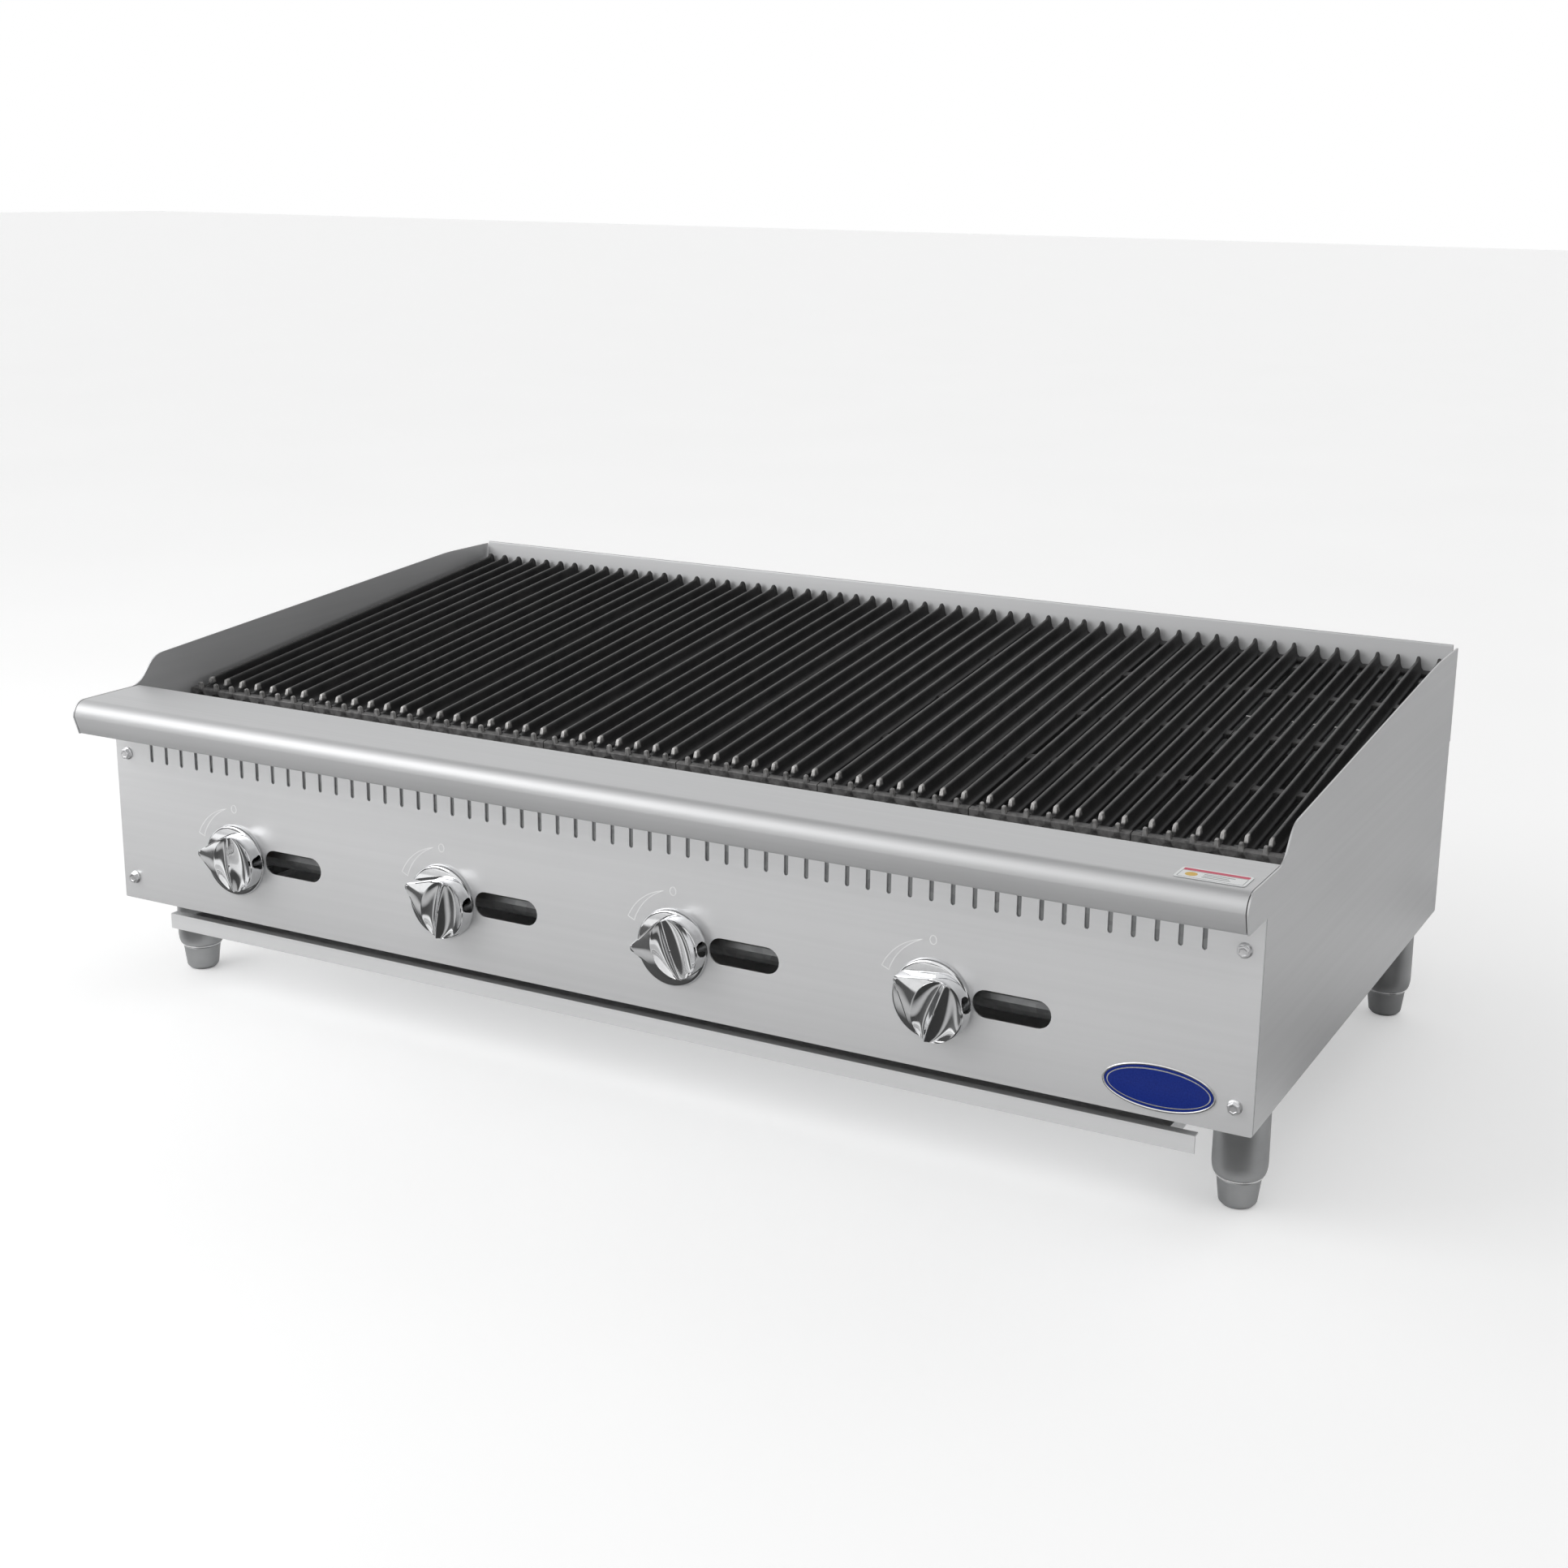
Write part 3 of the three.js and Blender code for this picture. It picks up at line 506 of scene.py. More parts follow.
# One stainless steel in several tones, as painted light and shade for how light falls on each part: the
# panel and the tray are made lighter, the ledge, the back and the sides darker.
steel_panel_lit = brushed_steel("brushed_steel_across", "x", (0.86, 0.863, 0.87), (0.82, 0.824, 0.83), 0.6)
steel_ledge_shaded = brushed_steel(
    "brushed_steel_ledge", "x", (0.64, 0.643, 0.65), (0.6, 0.604, 0.61), 0.7, 0.44, 0.54
)
steel_side = brushed_steel(
    "brushed_steel_side", "y", (0.66, 0.663, 0.67), (0.62, 0.624, 0.63), 0.6, 0.42, 0.52
)
steel_tray_lit = brushed_steel("brushed_steel_tray", "x", (0.88, 0.885, 0.89), (0.84, 0.845, 0.85), 0.35)
chrome = chrome_plate("knob_chrome")
bolt_plate = chrome_plate("bolt_zinc", 0.3, 0.42, (0.95, 0.95, 0.96))
grate_iron = cast_iron("grate_iron", (0.018, 0.018, 0.019), (0.04, 0.039, 0.039), with_wear_and_sheen=True)
# The burners and radiants are darker iron than the grates: painted shade, so the gaps between the grate's
# ribs read dark.
shaded_burner_iron = cast_iron("shaded_burner_iron", (0.012, 0.012, 0.012), (0.03, 0.029, 0.028))
aluminised = aluminised_steel("aluminised_steel")
brass = valve_brass("valve_brass")
leg_metal = leg_plating("leg_nickel")
lip_plate = chrome_plate("leg_lip", 0.25, 0.4, (0.95, 0.95, 0.95))
badge_blue = enamel("badge_enamel", (0.004, 0.018, 0.17), (0.007, 0.025, 0.22))
badge_silver = chrome_plate("badge_rim", 0.14, 0.24, (0.9, 0.9, 0.9))
label_white = printed("label_white", (0.74, 0.76, 0.76), (0.82, 0.83, 0.83))
label_red = printed("label_red", (0.5, 0.02, 0.07), (0.62, 0.035, 0.1))
label_grey = printed("label_grey", (0.2, 0.21, 0.22), (0.28, 0.29, 0.3))
label_amber = printed("label_amber", (0.6, 0.36, 0.03), (0.72, 0.46, 0.05))
etching = printed("panel_etching", (0.96, 0.96, 0.96), (1.0, 1.0, 1.0), 0.6)

# ---- Cabinet ---------------------------------------------------------------------------------


def round_slot(cu, cv, length, height, steps=12):
    radius = height / 2
    right = arc(cu + length / 2 - radius, cv, radius, -90, 90, steps)
    left = arc(cu - length / 2 + radius, cv, radius, 90, 270, steps)
    return right + left


def circle(cu, cv, radius, steps=28):
    return arc(cu, cv, radius, 0, 360 * (steps - 1) / steps, steps - 1)


def rounded_rectangle(u0, v0, u1, v1, radius, steps=4):
    return (
        arc(u1 - radius, v0 + radius, radius, -90, 0, steps)
        + arc(u1 - radius, v1 - radius, radius, 0, 90, steps)
        + arc(u0 + radius, v1 - radius, radius, 90, 180, steps)
        + arc(u0 + radius, v0 + radius, radius, 180, 270, steps)
    )


def cabinet_sheet(node, mesh, material, sharp=50):
    """A stainless sheet of the cabinet, in place of its CAD node."""
    return finish_mesh(f"{node}_sheet", mesh, material, "cabinet", node, sharp)


def control_panel():
    """The front panel: a sheet with vents, sight slots, and holes for the valve stems and bolts."""
    outer = rounded_rectangle(panel_low.x, panel_low.z, panel_high.x, panel_high.z, 1.2)
    holes = []
    for i in range(VENTS["count"]):
        x = (i - (VENTS["count"] - 1) / 2) * VENTS["pitch"]
        half = VENTS["width"] / 2
        holes.append(
            [(x + half, VENTS["top"]), (x - half, VENTS["top"])]
            + arc(x, VENTS["bottom"] + half, half, 180, 360, 8)
        )
    for x, y, z in KNOB_AXES:
        middle = (x + SIGHT_SLOT["offset"], z + SIGHT_SLOT["rise"])
        holes.append(round_slot(*middle, SIGHT_SLOT["length"], SIGHT_SLOT["height"]))
        holes.append(circle(x, z, STEM_HOLE))
    for name in BOLTS:
        low, high = box_mm(name)
        middle = (low + high) / 2
        holes.append(circle(middle.x, middle.z, BOLT_HOLE, 16))
    mesh = plate_mesh(outer, holes, panel_high.y - panel_low.y, "y", (panel_low.y + panel_high.y) / 2)
    panel = cabinet_sheet("control_panel", mesh, steel_panel_lit, 32)
    bevelled(panel, 0.45)


def nose():
    """The ledge's rounded front edge, from its lower end to the flat top."""
    centre = (FRONT_Y + NOSE_RADIUS, LEDGE_TOP - NOSE_RADIUS)
    return arc(*centre, NOSE_RADIUS, 180, 90, NOSE_STEPS)


def front_ledge():
    """The ledge: one sheet from under the nose, round it and back, then down under the grates."""
    lower = [(PANEL_SEAT, SEAM_Z), (FRONT_Y + NOSE_SETBACK, SEAM_Z)]
    path = rounded_path(lower + [(FRONT_Y, LEDGE_TOP - NOSE_RADIUS)], 2.5) + nose()[1:]
    path += rounded_path([nose()[-1]] + LEDGE_TROUGH, 3)[1:]
    mesh = strip_mesh(path[::-1], SHEET, ledge_low.x, ledge_high.x)
    bevelled(cabinet_sheet("front_ledge", mesh, steel_ledge_shaded), SHEET_EDGE, angle=50)


def splash_guard(side):
    """An upper side plate: it closes the ledge's end and rises behind it."""
    rear_top = (REAR_Y - 1, splash_high.z)
    corners = [(LEDGE_REAR - 30, LEDGE_TOP), (LEDGE_REAR, LEDGE_TOP), SPLASH_FRONT]
    corners += [(SPLASH_BEND_Y, splash_high.z), rear_top]
    top = rounded_path(corners, SPLASH_CORNER, 7)
    outline = rounded_path([(FRONT_Y + NOSE_SETBACK, SEAM_Z), (FRONT_Y, LEDGE_TOP - NOSE_RADIUS)], 1)
    outline += nose()[1:] + top[1:] + [(REAR_Y, splash_high.z - 1), (REAR_Y, SEAM_Z)]
    name = "right" if side > 0 else "left"
    mesh = plate_mesh(outline, [], SHEET, "x", side * (HALF_WIDTH - SHEET / 2))
    bevelled(cabinet_sheet(f"splash_guard_{name}", mesh, steel_side, 32), 0.5)


def back_splash():
    """The rear splash guard: a face that leans back at its top, folded over and down to the cabinet."""
    y, top = BACK_FACE["y"], back_high.z
    path = [(y, BACK_FACE["bottom"]), (y, BACK_FACE["bend"]), (BACK_FACE["top_y"], top)]
    path += [(REAR_Y, top), (REAR_Y, SEAM_Z)]
    mesh = strip_mesh(rounded_path(path, 1.6)[::-1], SHEET, back_low.x, back_high.x)
    bevelled(cabinet_sheet("back_splash", mesh, steel_ledge_shaded), SHEET_EDGE, angle=50)


def side_panel(name, side):
    """A lower side panel with its bottom flange folded in."""
    low, high = box_mm(f"side_panel_{name}")
    inner, outer = (low.x, high.x) if side > 0 else (high.x, low.x)
    path = rounded_path([(inner, low.z), (outer, low.z), (outer, high.z)], 2.6)
    if side < 0:
        path = path[::-1]
    mesh = strip_mesh(path, SHEET, low.y, high.y, "y")
    bevelled(cabinet_sheet(f"side_panel_{name}", mesh, steel_side), SHEET_EDGE, angle=50)


def facing_front(x, y, z, turn=0.0):
    """A local frame whose Z points out of the front panel and Y points up, turned anticlockwise as seen."""
    base = Matrix(((1, 0, 0, x), (0, 0, -1, y), (0, 1, 0, z), (0, 0, 0, 1)))
    return base @ Matrix.Rotation(math.radians(turn), 4, "Z")


BOLT_FLANGE = [(0, 0), (6.5, 0), (6.6, 0.5), (6.0, 1.1), (5.2, 1.6), (0, 1.7)]
BOLT_HEAD = [
    (0, 1.0), (5.5, 1.0), (5.6, 1.6), (5.55, 4.3), (5.0, 4.9), (3.6, 5.0), (3.0, 4.6), (0, 4.5),
]
BOLT_SHANK = [(0, -12), (2.6, -12), (3.0, -11.4), (3.0, 0.5), (0, 0.5)]


def flange_bolt(name, turn):
    """A hex flange bolt with a domed flange and a dished head."""
    low, high = box_mm(name)
    middle = (low + high) / 2
    parts = [lathe(BOLT_FLANGE, 40), lathe(BOLT_HEAD, 6), lathe(BOLT_SHANK, 20)]
    here = facing_front(middle.x, PANEL_SEAT, middle.z, turn)
    mesh = outward(mesh_from(*join_meshes(parts), here))
    bolt = finish_mesh(f"{name}_detail", mesh, bolt_plate, "cabinet", name, 25)
    bevelled(bolt, 0.25)


def vent_shield():
    """A strip of bare sheet behind the vents, which keeps the valves out of sight."""
    reach = VENTS["count"] * VENTS["pitch"] / 2
    y, bottom, top = PANEL_FRONT + SHEET + 1.2, VENTS["bottom"] - 6, VENTS["top"] + 3
    path = [(y, bottom), (y, top), (y + 5, top)]
    mesh = strip_mesh(rounded_path(path, 1.5), 0.8, -reach, reach)
    finish_mesh("vent_shield", mesh, aluminised, "cabinet", None, 50)


BOLT_TURNS = (8, 21, -13, 34)

control_panel()
vent_shield()
front_ledge()
splash_guard(-1)
splash_guard(1)
back_splash()
side_panel("left", -1)
side_panel("right", 1)
for name, turn in zip(BOLTS, BOLT_TURNS):
    flange_bolt(name, turn)

# ---- Badge, label and control marks ----------------------------------------------------------


# Each is pairs of how far in from the badge's edge and what share of its thickness.
BADGE_RIM = [(0, 0), (0, 0.5), (0.5, 0.9), (1.0, 1), (1.7, 0.9), (2.2, 0.6), (2.2, 0)]
BADGE_FIELD = [(2.1, 0), (2.1, 0.5), (2.8, 0.58)]
BADGE_FIELD += [(2.8 + step * 2.2, 0.6 + 0.04 * step) for step in range(1, 8)]
BADGE_LINE = [(4.2, 0.5), (4.2, 0.68), (4.7, 0.72), (5.2, 0.7), (5.2, 0.5)]


def badge():
    """An oval plaque: a blue field inside a raised silver rim, with no lettering."""
    low, high = box_mm("badge")
    middle, half = (low + high) / 2, (high - low) / 2
    depth = high.y - low.y

    def oval(inset, share):
        u, v = half.x - inset, half.z - inset
        y = high.y - share * depth
        return [(middle.x + u * math.cos(a), y, middle.z + v * math.sin(a)) for a in full_turn(72)]

    def layer(name, section, material, node, closed):
        mesh = loft([oval(*step) for step in section], closed)
        finish_mesh(name, mesh, material, "cabinet", node, 60)

    layer("badge_rim", BADGE_RIM, badge_silver, None, True)
    layer("badge_field", BADGE_FIELD, badge_blue, "badge", False)
    layer("badge_line", BADGE_LINE, badge_silver, None, True)


LABEL = dict(corner=3, margin=2.2, band=5.2, gap=0.8, line=0.5, dot=5, dot_at=9.5)
LABEL_RULES = dict(at=19, reaches=(25, 21, 23), pitch=3.8, half=0.6)
LABEL_BASE = 0.3
LABEL_INK = 0.08


def label():
    """A small plain label on the ledge: white, with a red band, an amber dot and three grey rules."""
    low, high = box_mm("ledge_label")
    whole = rounded_rectangle(low.x, low.y, high.x, high.y, LABEL["corner"])
    white = plate_mesh(whole, [], LABEL_BASE, "z", low.z + LABEL_BASE / 2)
    finish_mesh("ledge_label_base", white, label_white, "cabinet", "ledge_label")

    def print_patch(name, outline, holes, material):
        patch = plate_mesh(outline, holes, LABEL_INK, "z", low.z + 0.33)
        finish_mesh(f"ledge_label_{name}", patch, material, "cabinet", None)

    margin, gap, line = LABEL["margin"], LABEL["gap"], LABEL["line"]
    u0, v0, u1, v1 = low.x + margin, low.y + margin, high.x - margin, high.y - margin
    band = v1 - LABEL["band"]
    print_patch("band", rounded_rectangle(u0, band, u1, v1, 1), [], label_red)
    border = rounded_rectangle(u0, v0, u1, band - gap, 1.4)
    inside = rounded_rectangle(u0 + line, v0 + line, u1 - line, band - gap - line, 1)
    print_patch("border", border, [inside], label_grey)
    middle = (v0 + band) / 2
    print_patch("dot", circle(u0 + LABEL["dot_at"], middle, LABEL["dot"]), [], label_amber)
    start, half = u0 + LABEL_RULES["at"], LABEL_RULES["half"]
    for i, reach in enumerate(LABEL_RULES["reaches"]):
        v = middle + LABEL_RULES["pitch"] * (1 - i)
        rule = rounded_rectangle(start, v - half, start + reach, v + half, 0.5)
        print_patch(f"rule_{i + 1}", rule, [], label_grey)


# The off mark is a ring, given as half its width and height outside and inside. The flame mark is an arc.
OFF_MARK = dict(rise=53, outer=(3.4, 4.3), inner=(2.8, 3.7))
FLAME_MARK = dict(start=100, end=156, outer=53, inner=45, line=0.5)


def flat_mark(outer, inner, name):
    """A printed mark on the panel, between two outlines."""
    mesh = plate_mesh(outer, [inner], 0.1, "y", PANEL_FRONT - 0.09)
    finish_mesh(name, mesh, etching, "cabinet", None)


def flame_outline(x, z, inset=0.0):
    """The tapering arc's outline, pointed at its start: its outer edge, and back along its inner edge."""
    start, end, outer = FLAME_MARK["start"], FLAME_MARK["end"], FLAME_MARK["outer"]
    steps = 26
    tip = math.degrees(inset * 4 / outer)
    reach = end - start - tip - math.degrees(inset / outer)
    angles = [start + tip + reach * i / steps for i in range(steps + 1)]
    radii = [(a, outer - inset) for a in angles]
    for a in reversed(angles[1:]):
        share = (a - start) / (end - start)
        radii.append((a, outer - (outer - FLAME_MARK["inner"]) * share ** 0.8 + inset))
    return [(x + r * math.cos(math.radians(a)), z + r * math.sin(math.radians(a))) for a, r in radii]


def off_outline(x, z, half_size):
    """One outline of the off mark's ring, above a knob."""
    u, v = half_size
    return [(x + u * math.cos(a), z + OFF_MARK["rise"] + v * math.sin(a)) for a in full_turn(28)]


def control_marks():
    """The off mark above each knob, and the flame mark beside it."""
    for i, (x, y, z) in enumerate(KNOB_AXES, 1):
        ring = [off_outline(x, z, OFF_MARK[edge]) for edge in ("outer", "inner")]
        flat_mark(*ring, f"off_mark_{i}")
        flat_mark(flame_outline(x, z), flame_outline(x, z, FLAME_MARK["line"]), f"flame_mark_{i}")


badge()
label()
control_marks()

# ---- Grates ----------------------------------------------------------------------------------

# Half of a rib's cross-section, from its top: pairs of width and height.
RIB_SIDE = [
    (0, 0), (0.9, -0.12), (1.4, -0.6), (1.7, -2.4), (2.1, -7), (2.9, -10.5), (4.2, -12.3), (5.5, -13.1),
    (5.8, -13.6), (5.8, -17),
]
# The rib from front to rear: pairs of distance and the height of its top.
RIB_STATIONS = [
    (0, -0.9), (0.5, -0.3), (1.6, 0), (3.0, -0.1), (3.9, -1.0), (4.5, -3.4), (5.6, -6.0), (7.4, -7),
    (12.4, -7), (14.4, -6.2), (15.7, -4.0), (16.4, -1.6), (17.3, -0.35), (19, 0), (23, 0), (120, 0),
    (260, 0), (400, 0), (515, 0), (521, 0.2), (523, 1.4), (524.6, 2.9), (526.5, 3.2), (528.4, 2.8),
    (530, 1.2), (GRATE_LENGTH, -0.8),
]
# Where a rib is worn bright: from and to along it, above what height, and how much.
RIB_WEAR = [(-1, 4.2, -7.5, 0.55), (15, 20, -4.5, 1.0), (-1, GRATE_LENGTH + 1, -0.5, 0.09)]
RIB_FOOT = 5.4
WEB_ROWS = (152, 281, 410)
# The web's last value is a painted sheen over the whole web, which lightens it as if lit.
WEB = dict(half=5, flare=3.0, bottom=-17, shoulder=-12.6, top=-11.6, corner=0.9, wear_and_sheen=0.07)
# The front flange's last value is a painted sheen on its front face, which makes that face mid-grey as if
# lit; the rear bar has none.
FRONT_FLANGE = (0, 8, -26, -7, 1.3, 0.24)
REAR_BAR = (GRATE_LENGTH - 12, GRATE_LENGTH, -17, -12.5, 1.2, 0.0)
SECTION_HALF = (grate_high.x - grate_low.x) / 2


def rib(x):
    """One rib: a thin ridge on a flared foot, notched behind its front tooth and hooked at the rear."""
    points, wear_and_sheen = [], []
    section = [(-u, v) for u, v in reversed(RIB_SIDE[1:])] + RIB_SIDE
    for along, top in RIB_STATIONS:
        for u, v in section:
            height = min(v, top) if top <= 0 else v + top * max(0, 1 + v / 7)
            points.append((x + u, along, height))
            bright = [much for start, end, low, much in RIB_WEAR if start < along < end and height > low]
            wear_and_sheen.append(max(bright, default=0))
    return points, tube_faces(len(RIB_STATIONS), len(section)), wear_and_sheen


def web(x0, x1, along):
    """A bridge between two ribs, with its corners filleted into their feet."""
    steps = 8
    points = []
    shoulder, top, corner = WEB["shoulder"], WEB["top"], WEB["corner"]
    for s in range(steps + 1):
        share = s / steps
        half = WEB["half"] + WEB["flare"] * abs(2 * share - 1) ** 4
        left = [(-half, WEB["bottom"]), (-half, shoulder), (-half + corner, top)]
        ring = left + [(-u, v) for u, v in reversed(left)]
        points += [(x0 + (x1 - x0) * share, along + u, v) for u, v in ring]
    return points, tube_faces(steps + 1, 6), [WEB["wear_and_sheen"]] * len(points)


def bar(y0, y1, z0, z1, radius, painted_front_sheen):
    """A bar across the section with rounded long edges, with a painted sheen along its front face."""
    outline = rounded_rectangle(y0, z0, y1, z1, radius, 3)
    points, faces = prism(outline, -SECTION_HALF, SECTION_HALF)
    wear_and_sheen = [painted_front_sheen if p[1] < y0 + 1.5 else 0.0 for p in points]
    return points, faces, wear_and_sheen


def grate(index):
    """One cast section: seven ribs, three rows of webs, a front flange and a rear bar."""
    low, high = box_mm(f"grate_{index}")
    ribs = [(i - (RIB_COUNT - 1) // 2) * RIB_PITCH for i in range(RIB_COUNT)]
    sides = [side for x in ribs for side in (x - RIB_FOOT, x + RIB_FOOT)]
    edges = [-SECTION_HALF, *sides, SECTION_HALF]
    parts = [rib(x) for x in ribs]
    for along in WEB_ROWS:
        parts += [web(x0, x1, along) for x0, x1 in zip(edges[::2], edges[1::2])]
    parts += [bar(*FRONT_FLANGE), bar(*REAR_BAR)]
    points, faces = join_meshes([(p, f) for p, f, wear_and_sheen in parts])
    place = Matrix.Translation(((low.x + high.x) / 2, *GRATE_FRONT)) @ Matrix.Rotation(GRATE_TILT, 4, "X")
    mesh = mesh_from(points, faces, place)
    # The point attribute holds the ribs' wear, and the painted sheen of the webs and the front flange.
    attribute = mesh.attributes.new("wear_and_sheen", "FLOAT", "POINT")
    attribute.data.foreach_set("value", [w for p, f, wear_and_sheen in parts for w in wear_and_sheen])
    node = f"grate_{index}"
    outward(mesh, merge=False)
    finish_mesh(f"{node}_casting", mesh, grate_iron, f"grate_body_{index}", node, 38)


for index in range(1, 9):
    grate(index)

# ---- Knobs -----------------------------------------------------------------------------------

KNOB = dict(radius=29, tip_radius=4, tip_reach=41.5, tip_angle=161, wall=13.2, wall_rise=1.6)
GRIP = dict(
    centre=3.2, half_width=23.5, half_length=28.3, lean=-6, ridge=20.5, ridge_round=1.4, crown=2.2,
    scoop=6.5, fall=3.2, wall=2.2,
)
# The knob's round end is off the axis that it turns about by this much.
LOBE = (10.7, -0.2)
KNOB_TIP = math.radians(KNOB["tip_angle"])
# The skirt's rings, from the back: how far in from the outline, what share of the wall's height, and lift.
SKIRT = [
    (1.2, 0, 0), (0.3, 0, 0.2), (0, 0, 1.0), (0.28, 0.35, 0), (0.56, 0.7, 0), (0.9, 1, -1.0),
    (1.2, 1, -0.35), (1.9, 1, 0),
]
# The grip's rounded edge: its size as a share, and how far below the face it is on the side of the tip.
GRIP_EDGE = [(0.995, 0.5), (0.985, 0.12), (0.965, 0.0)]
RAMP_STEPS = 10
FACE_STEPS = 22


def teardrop_radius(angle):
    """How far the knob's outline is from its round end's centre, in a direction given in radians."""
    away = math.atan2(math.sin(angle - KNOB_TIP), math.cos(angle - KNOB_TIP))
    big, small, reach = KNOB["radius"], KNOB["tip_radius"], KNOB["tip_reach"]
    tangent = math.acos((big - small) / reach)
    if abs(away) >= tangent:
        return big
    straight = big / math.cos(abs(away) - tangent)
    end = math.atan2(small * math.sin(tangent), reach + small * math.cos(tangent))
    if abs(away) >= end:
        return straight
    return reach * math.cos(away) + math.sqrt(max(small**2 - (reach * math.sin(away)) ** 2, 0))


def grip_radius(angle):
    """How far the oval grip reaches from its own centre."""
    lean = math.radians(GRIP["lean"])
    across, along = math.cos(angle - lean), math.sin(angle - lean)
    return 1 / math.hypot(across / GRIP["half_width"], along / GRIP["half_length"])


def grip_height(u, v):
    """The grip's face: two scoops that fall away from a ridge along its length. u and v from its centre."""
    lean = math.radians(GRIP["lean"])
    across = u * math.cos(lean) + v * math.sin(lean)
    along = (v * math.cos(lean) - u * math.sin(lean)) / GRIP["half_length"]
    half = GRIP["half_width"] * math.sqrt(max(1 - along**2, 0.0004))
    away = min((math.hypot(across, GRIP["ridge_round"]) - GRIP["ridge_round"]) / half, 1)
    hollow = GRIP["scoop"] * math.sin(math.pi * away**0.8) * half / GRIP["half_width"]
    return GRIP["ridge"] - GRIP["crown"] * along**2 - GRIP["fall"] * away - hollow


def facing_tip(u, v):
    """1 towards the knob's tip, falling to 0 on the far side. u and v from the grip's centre."""
    reach = math.hypot(u, v)
    return max(0.0, (u * math.cos(KNOB_TIP) + v * math.sin(KNOB_TIP)) / reach) ** 0.7 if reach else 0.0


def skirt_ring(inset, share, lift):
    """A ring that follows the teardrop. Its wall is lowest at the tip."""
    ring = []
    for a in full_turn(180):
        radius = teardrop_radius(a) - inset
        wall = KNOB["wall"] + KNOB["wall_rise"] * (1 - math.cos(a - KNOB_TIP)) / 2
        ring.append((radius * math.cos(a), radius * math.sin(a), share * wall + lift))
    return ring


def grip_ring(share, drop):
    """A ring that follows the oval grip at a share of its size, up to drop below its face."""
    ring = []
    for a in full_turn(180):
        u, v = share * grip_radius(a) * math.cos(a), share * grip_radius(a) * math.sin(a)
        ring.append((u + GRIP["centre"], v, grip_height(u, v) - drop * facing_tip(u, v)))
    return ring


def knob_rings():
    """Rings from the back of the knob, up its wall and over the ramp, to the middle of the grip."""
    rings = [skirt_ring(*step) for step in SKIRT]
    edge, foot = rings[-1], grip_ring(1.0, GRIP["wall"])
    for i in range(1, RAMP_STEPS + 1):
        rings.append([tuple(Vector(p).lerp(Vector(q), i / RAMP_STEPS)) for p, q in zip(edge, foot)])
    rings += [grip_ring(*step) for step in GRIP_EDGE]
    rings += [grip_ring(GRIP_EDGE[-1][0] * (1 - i / FACE_STEPS), 0.0) for i in range(1, FACE_STEPS)]
    return rings


def knob(index):
    """A plated knob: a teardrop skirt that ramps up to an oval grip, with two scoops beside a ridge."""
    x, y, z = KNOB_AXES[index - 1]
    node = f"knob_{index}"
    back = box_mm(node)[1].y
    here = facing_front(x, back, z, KNOB_TURNS[index - 1]) @ Matrix.Translation((*LOBE, 0))
    mesh = loft([[tuple(here @ Vector(p)) for p in ring] for ring in knob_rings()])
    finish_mesh(f"{node}_grip", mesh, chrome, f"knob_body_{index}", node, 28)


# The trim's section: pairs of radius and distance out from the panel.
BEZEL = [
    (6.6, 0), (36.6, 0), (37, 0.4), (37, 1.2), (36.7, 2.2), (36.0, 3.6), (35.0, 4.6), (33.6, 5), (12, 5),
    (6.6, 4.8),
]


def bezel(index):
    """The round plated trim behind a knob."""
    x, y, z = KNOB_AXES[index - 1]
    node = f"knob_bezel_{index}"
    mesh = outward(mesh_from(*lathe(BEZEL, 96, ring=True), facing_front(x, PANEL_SEAT, z)))
    finish_mesh(f"{node}_trim", mesh, chrome, "cabinet", node, 40)


for index in range(1, 5):
    bezel(index)
    knob(index)

# ---- Legs and feet ---------------------------------------------------------------------------


LEG = dict(bore=15.4, mouth=20.5, swell=3.5, swell_height=13, groove=0.7)
SWELL_STEPS = 12
# Sections of a leg's lip and a foot's cup: pairs of radius and height from the floor.
LEG_LIP = [(15.5, 26.7), (19.8, 26.7), (20.5, 27.0), (20.7, 27.5), (20.5, 28.0), (19.9, 28.3), (15.5, 28.3)]
FOOT_CUP = [
    (0, 0), (12.5, 0), (13.6, 0.5), (16.1, 3.2), (16.6, 4.4), (19.1, 24.4), (19.4, 25.4), (19, 26.1),
    (16.4, 26.2),
]
THREAD = dict(start=27.2, pitch=1.5, root=14.1, crest=15.0, tip=12.6)


def turned_mesh(node, section, steps, ring):
    """A turned mesh on the upright axis through the middle of a CAD node."""
    low, high = box_mm(node)
    middle = (low + high) / 2
    return outward(mesh_from(*lathe(section, steps, ring), Matrix.Translation((middle.x, middle.y, 0))))


def leg(name):
    """A tube that swells above its rolled-in mouth, with a groove round it near the top."""
    node = f"leg_{name}"
    low, high = box_mm(node)
    top, bottom, radius = high.z, low.z, (high.x - low.x) / 2
    bore, waist = LEG["bore"], radius - LEG["groove"]
    section = [(bore, top - 7), (bore, bottom + 0.6), (16, bottom), (19.6, bottom), (20.3, bottom + 0.5)]
    for step in range(1, SWELL_STEPS + 1):
        turn = step / SWELL_STEPS * math.pi / 2
        height = bottom + 0.6 + LEG["swell_height"] * (1 - math.cos(turn))
        section.append((LEG["mouth"] + LEG["swell"] * math.sin(turn), height))
    section += [(radius, top - 2.6), (waist, top - 2.2), (waist, top - 1.8), (radius, top - 1.4)]
    section += [(radius, top - 0.4), (radius - 0.4, top), (bore, top)]
    mesh = turned_mesh(node, section, 72, True)
    finish_mesh(f"{node}_tube", mesh, leg_metal, "cabinet", node, 32)


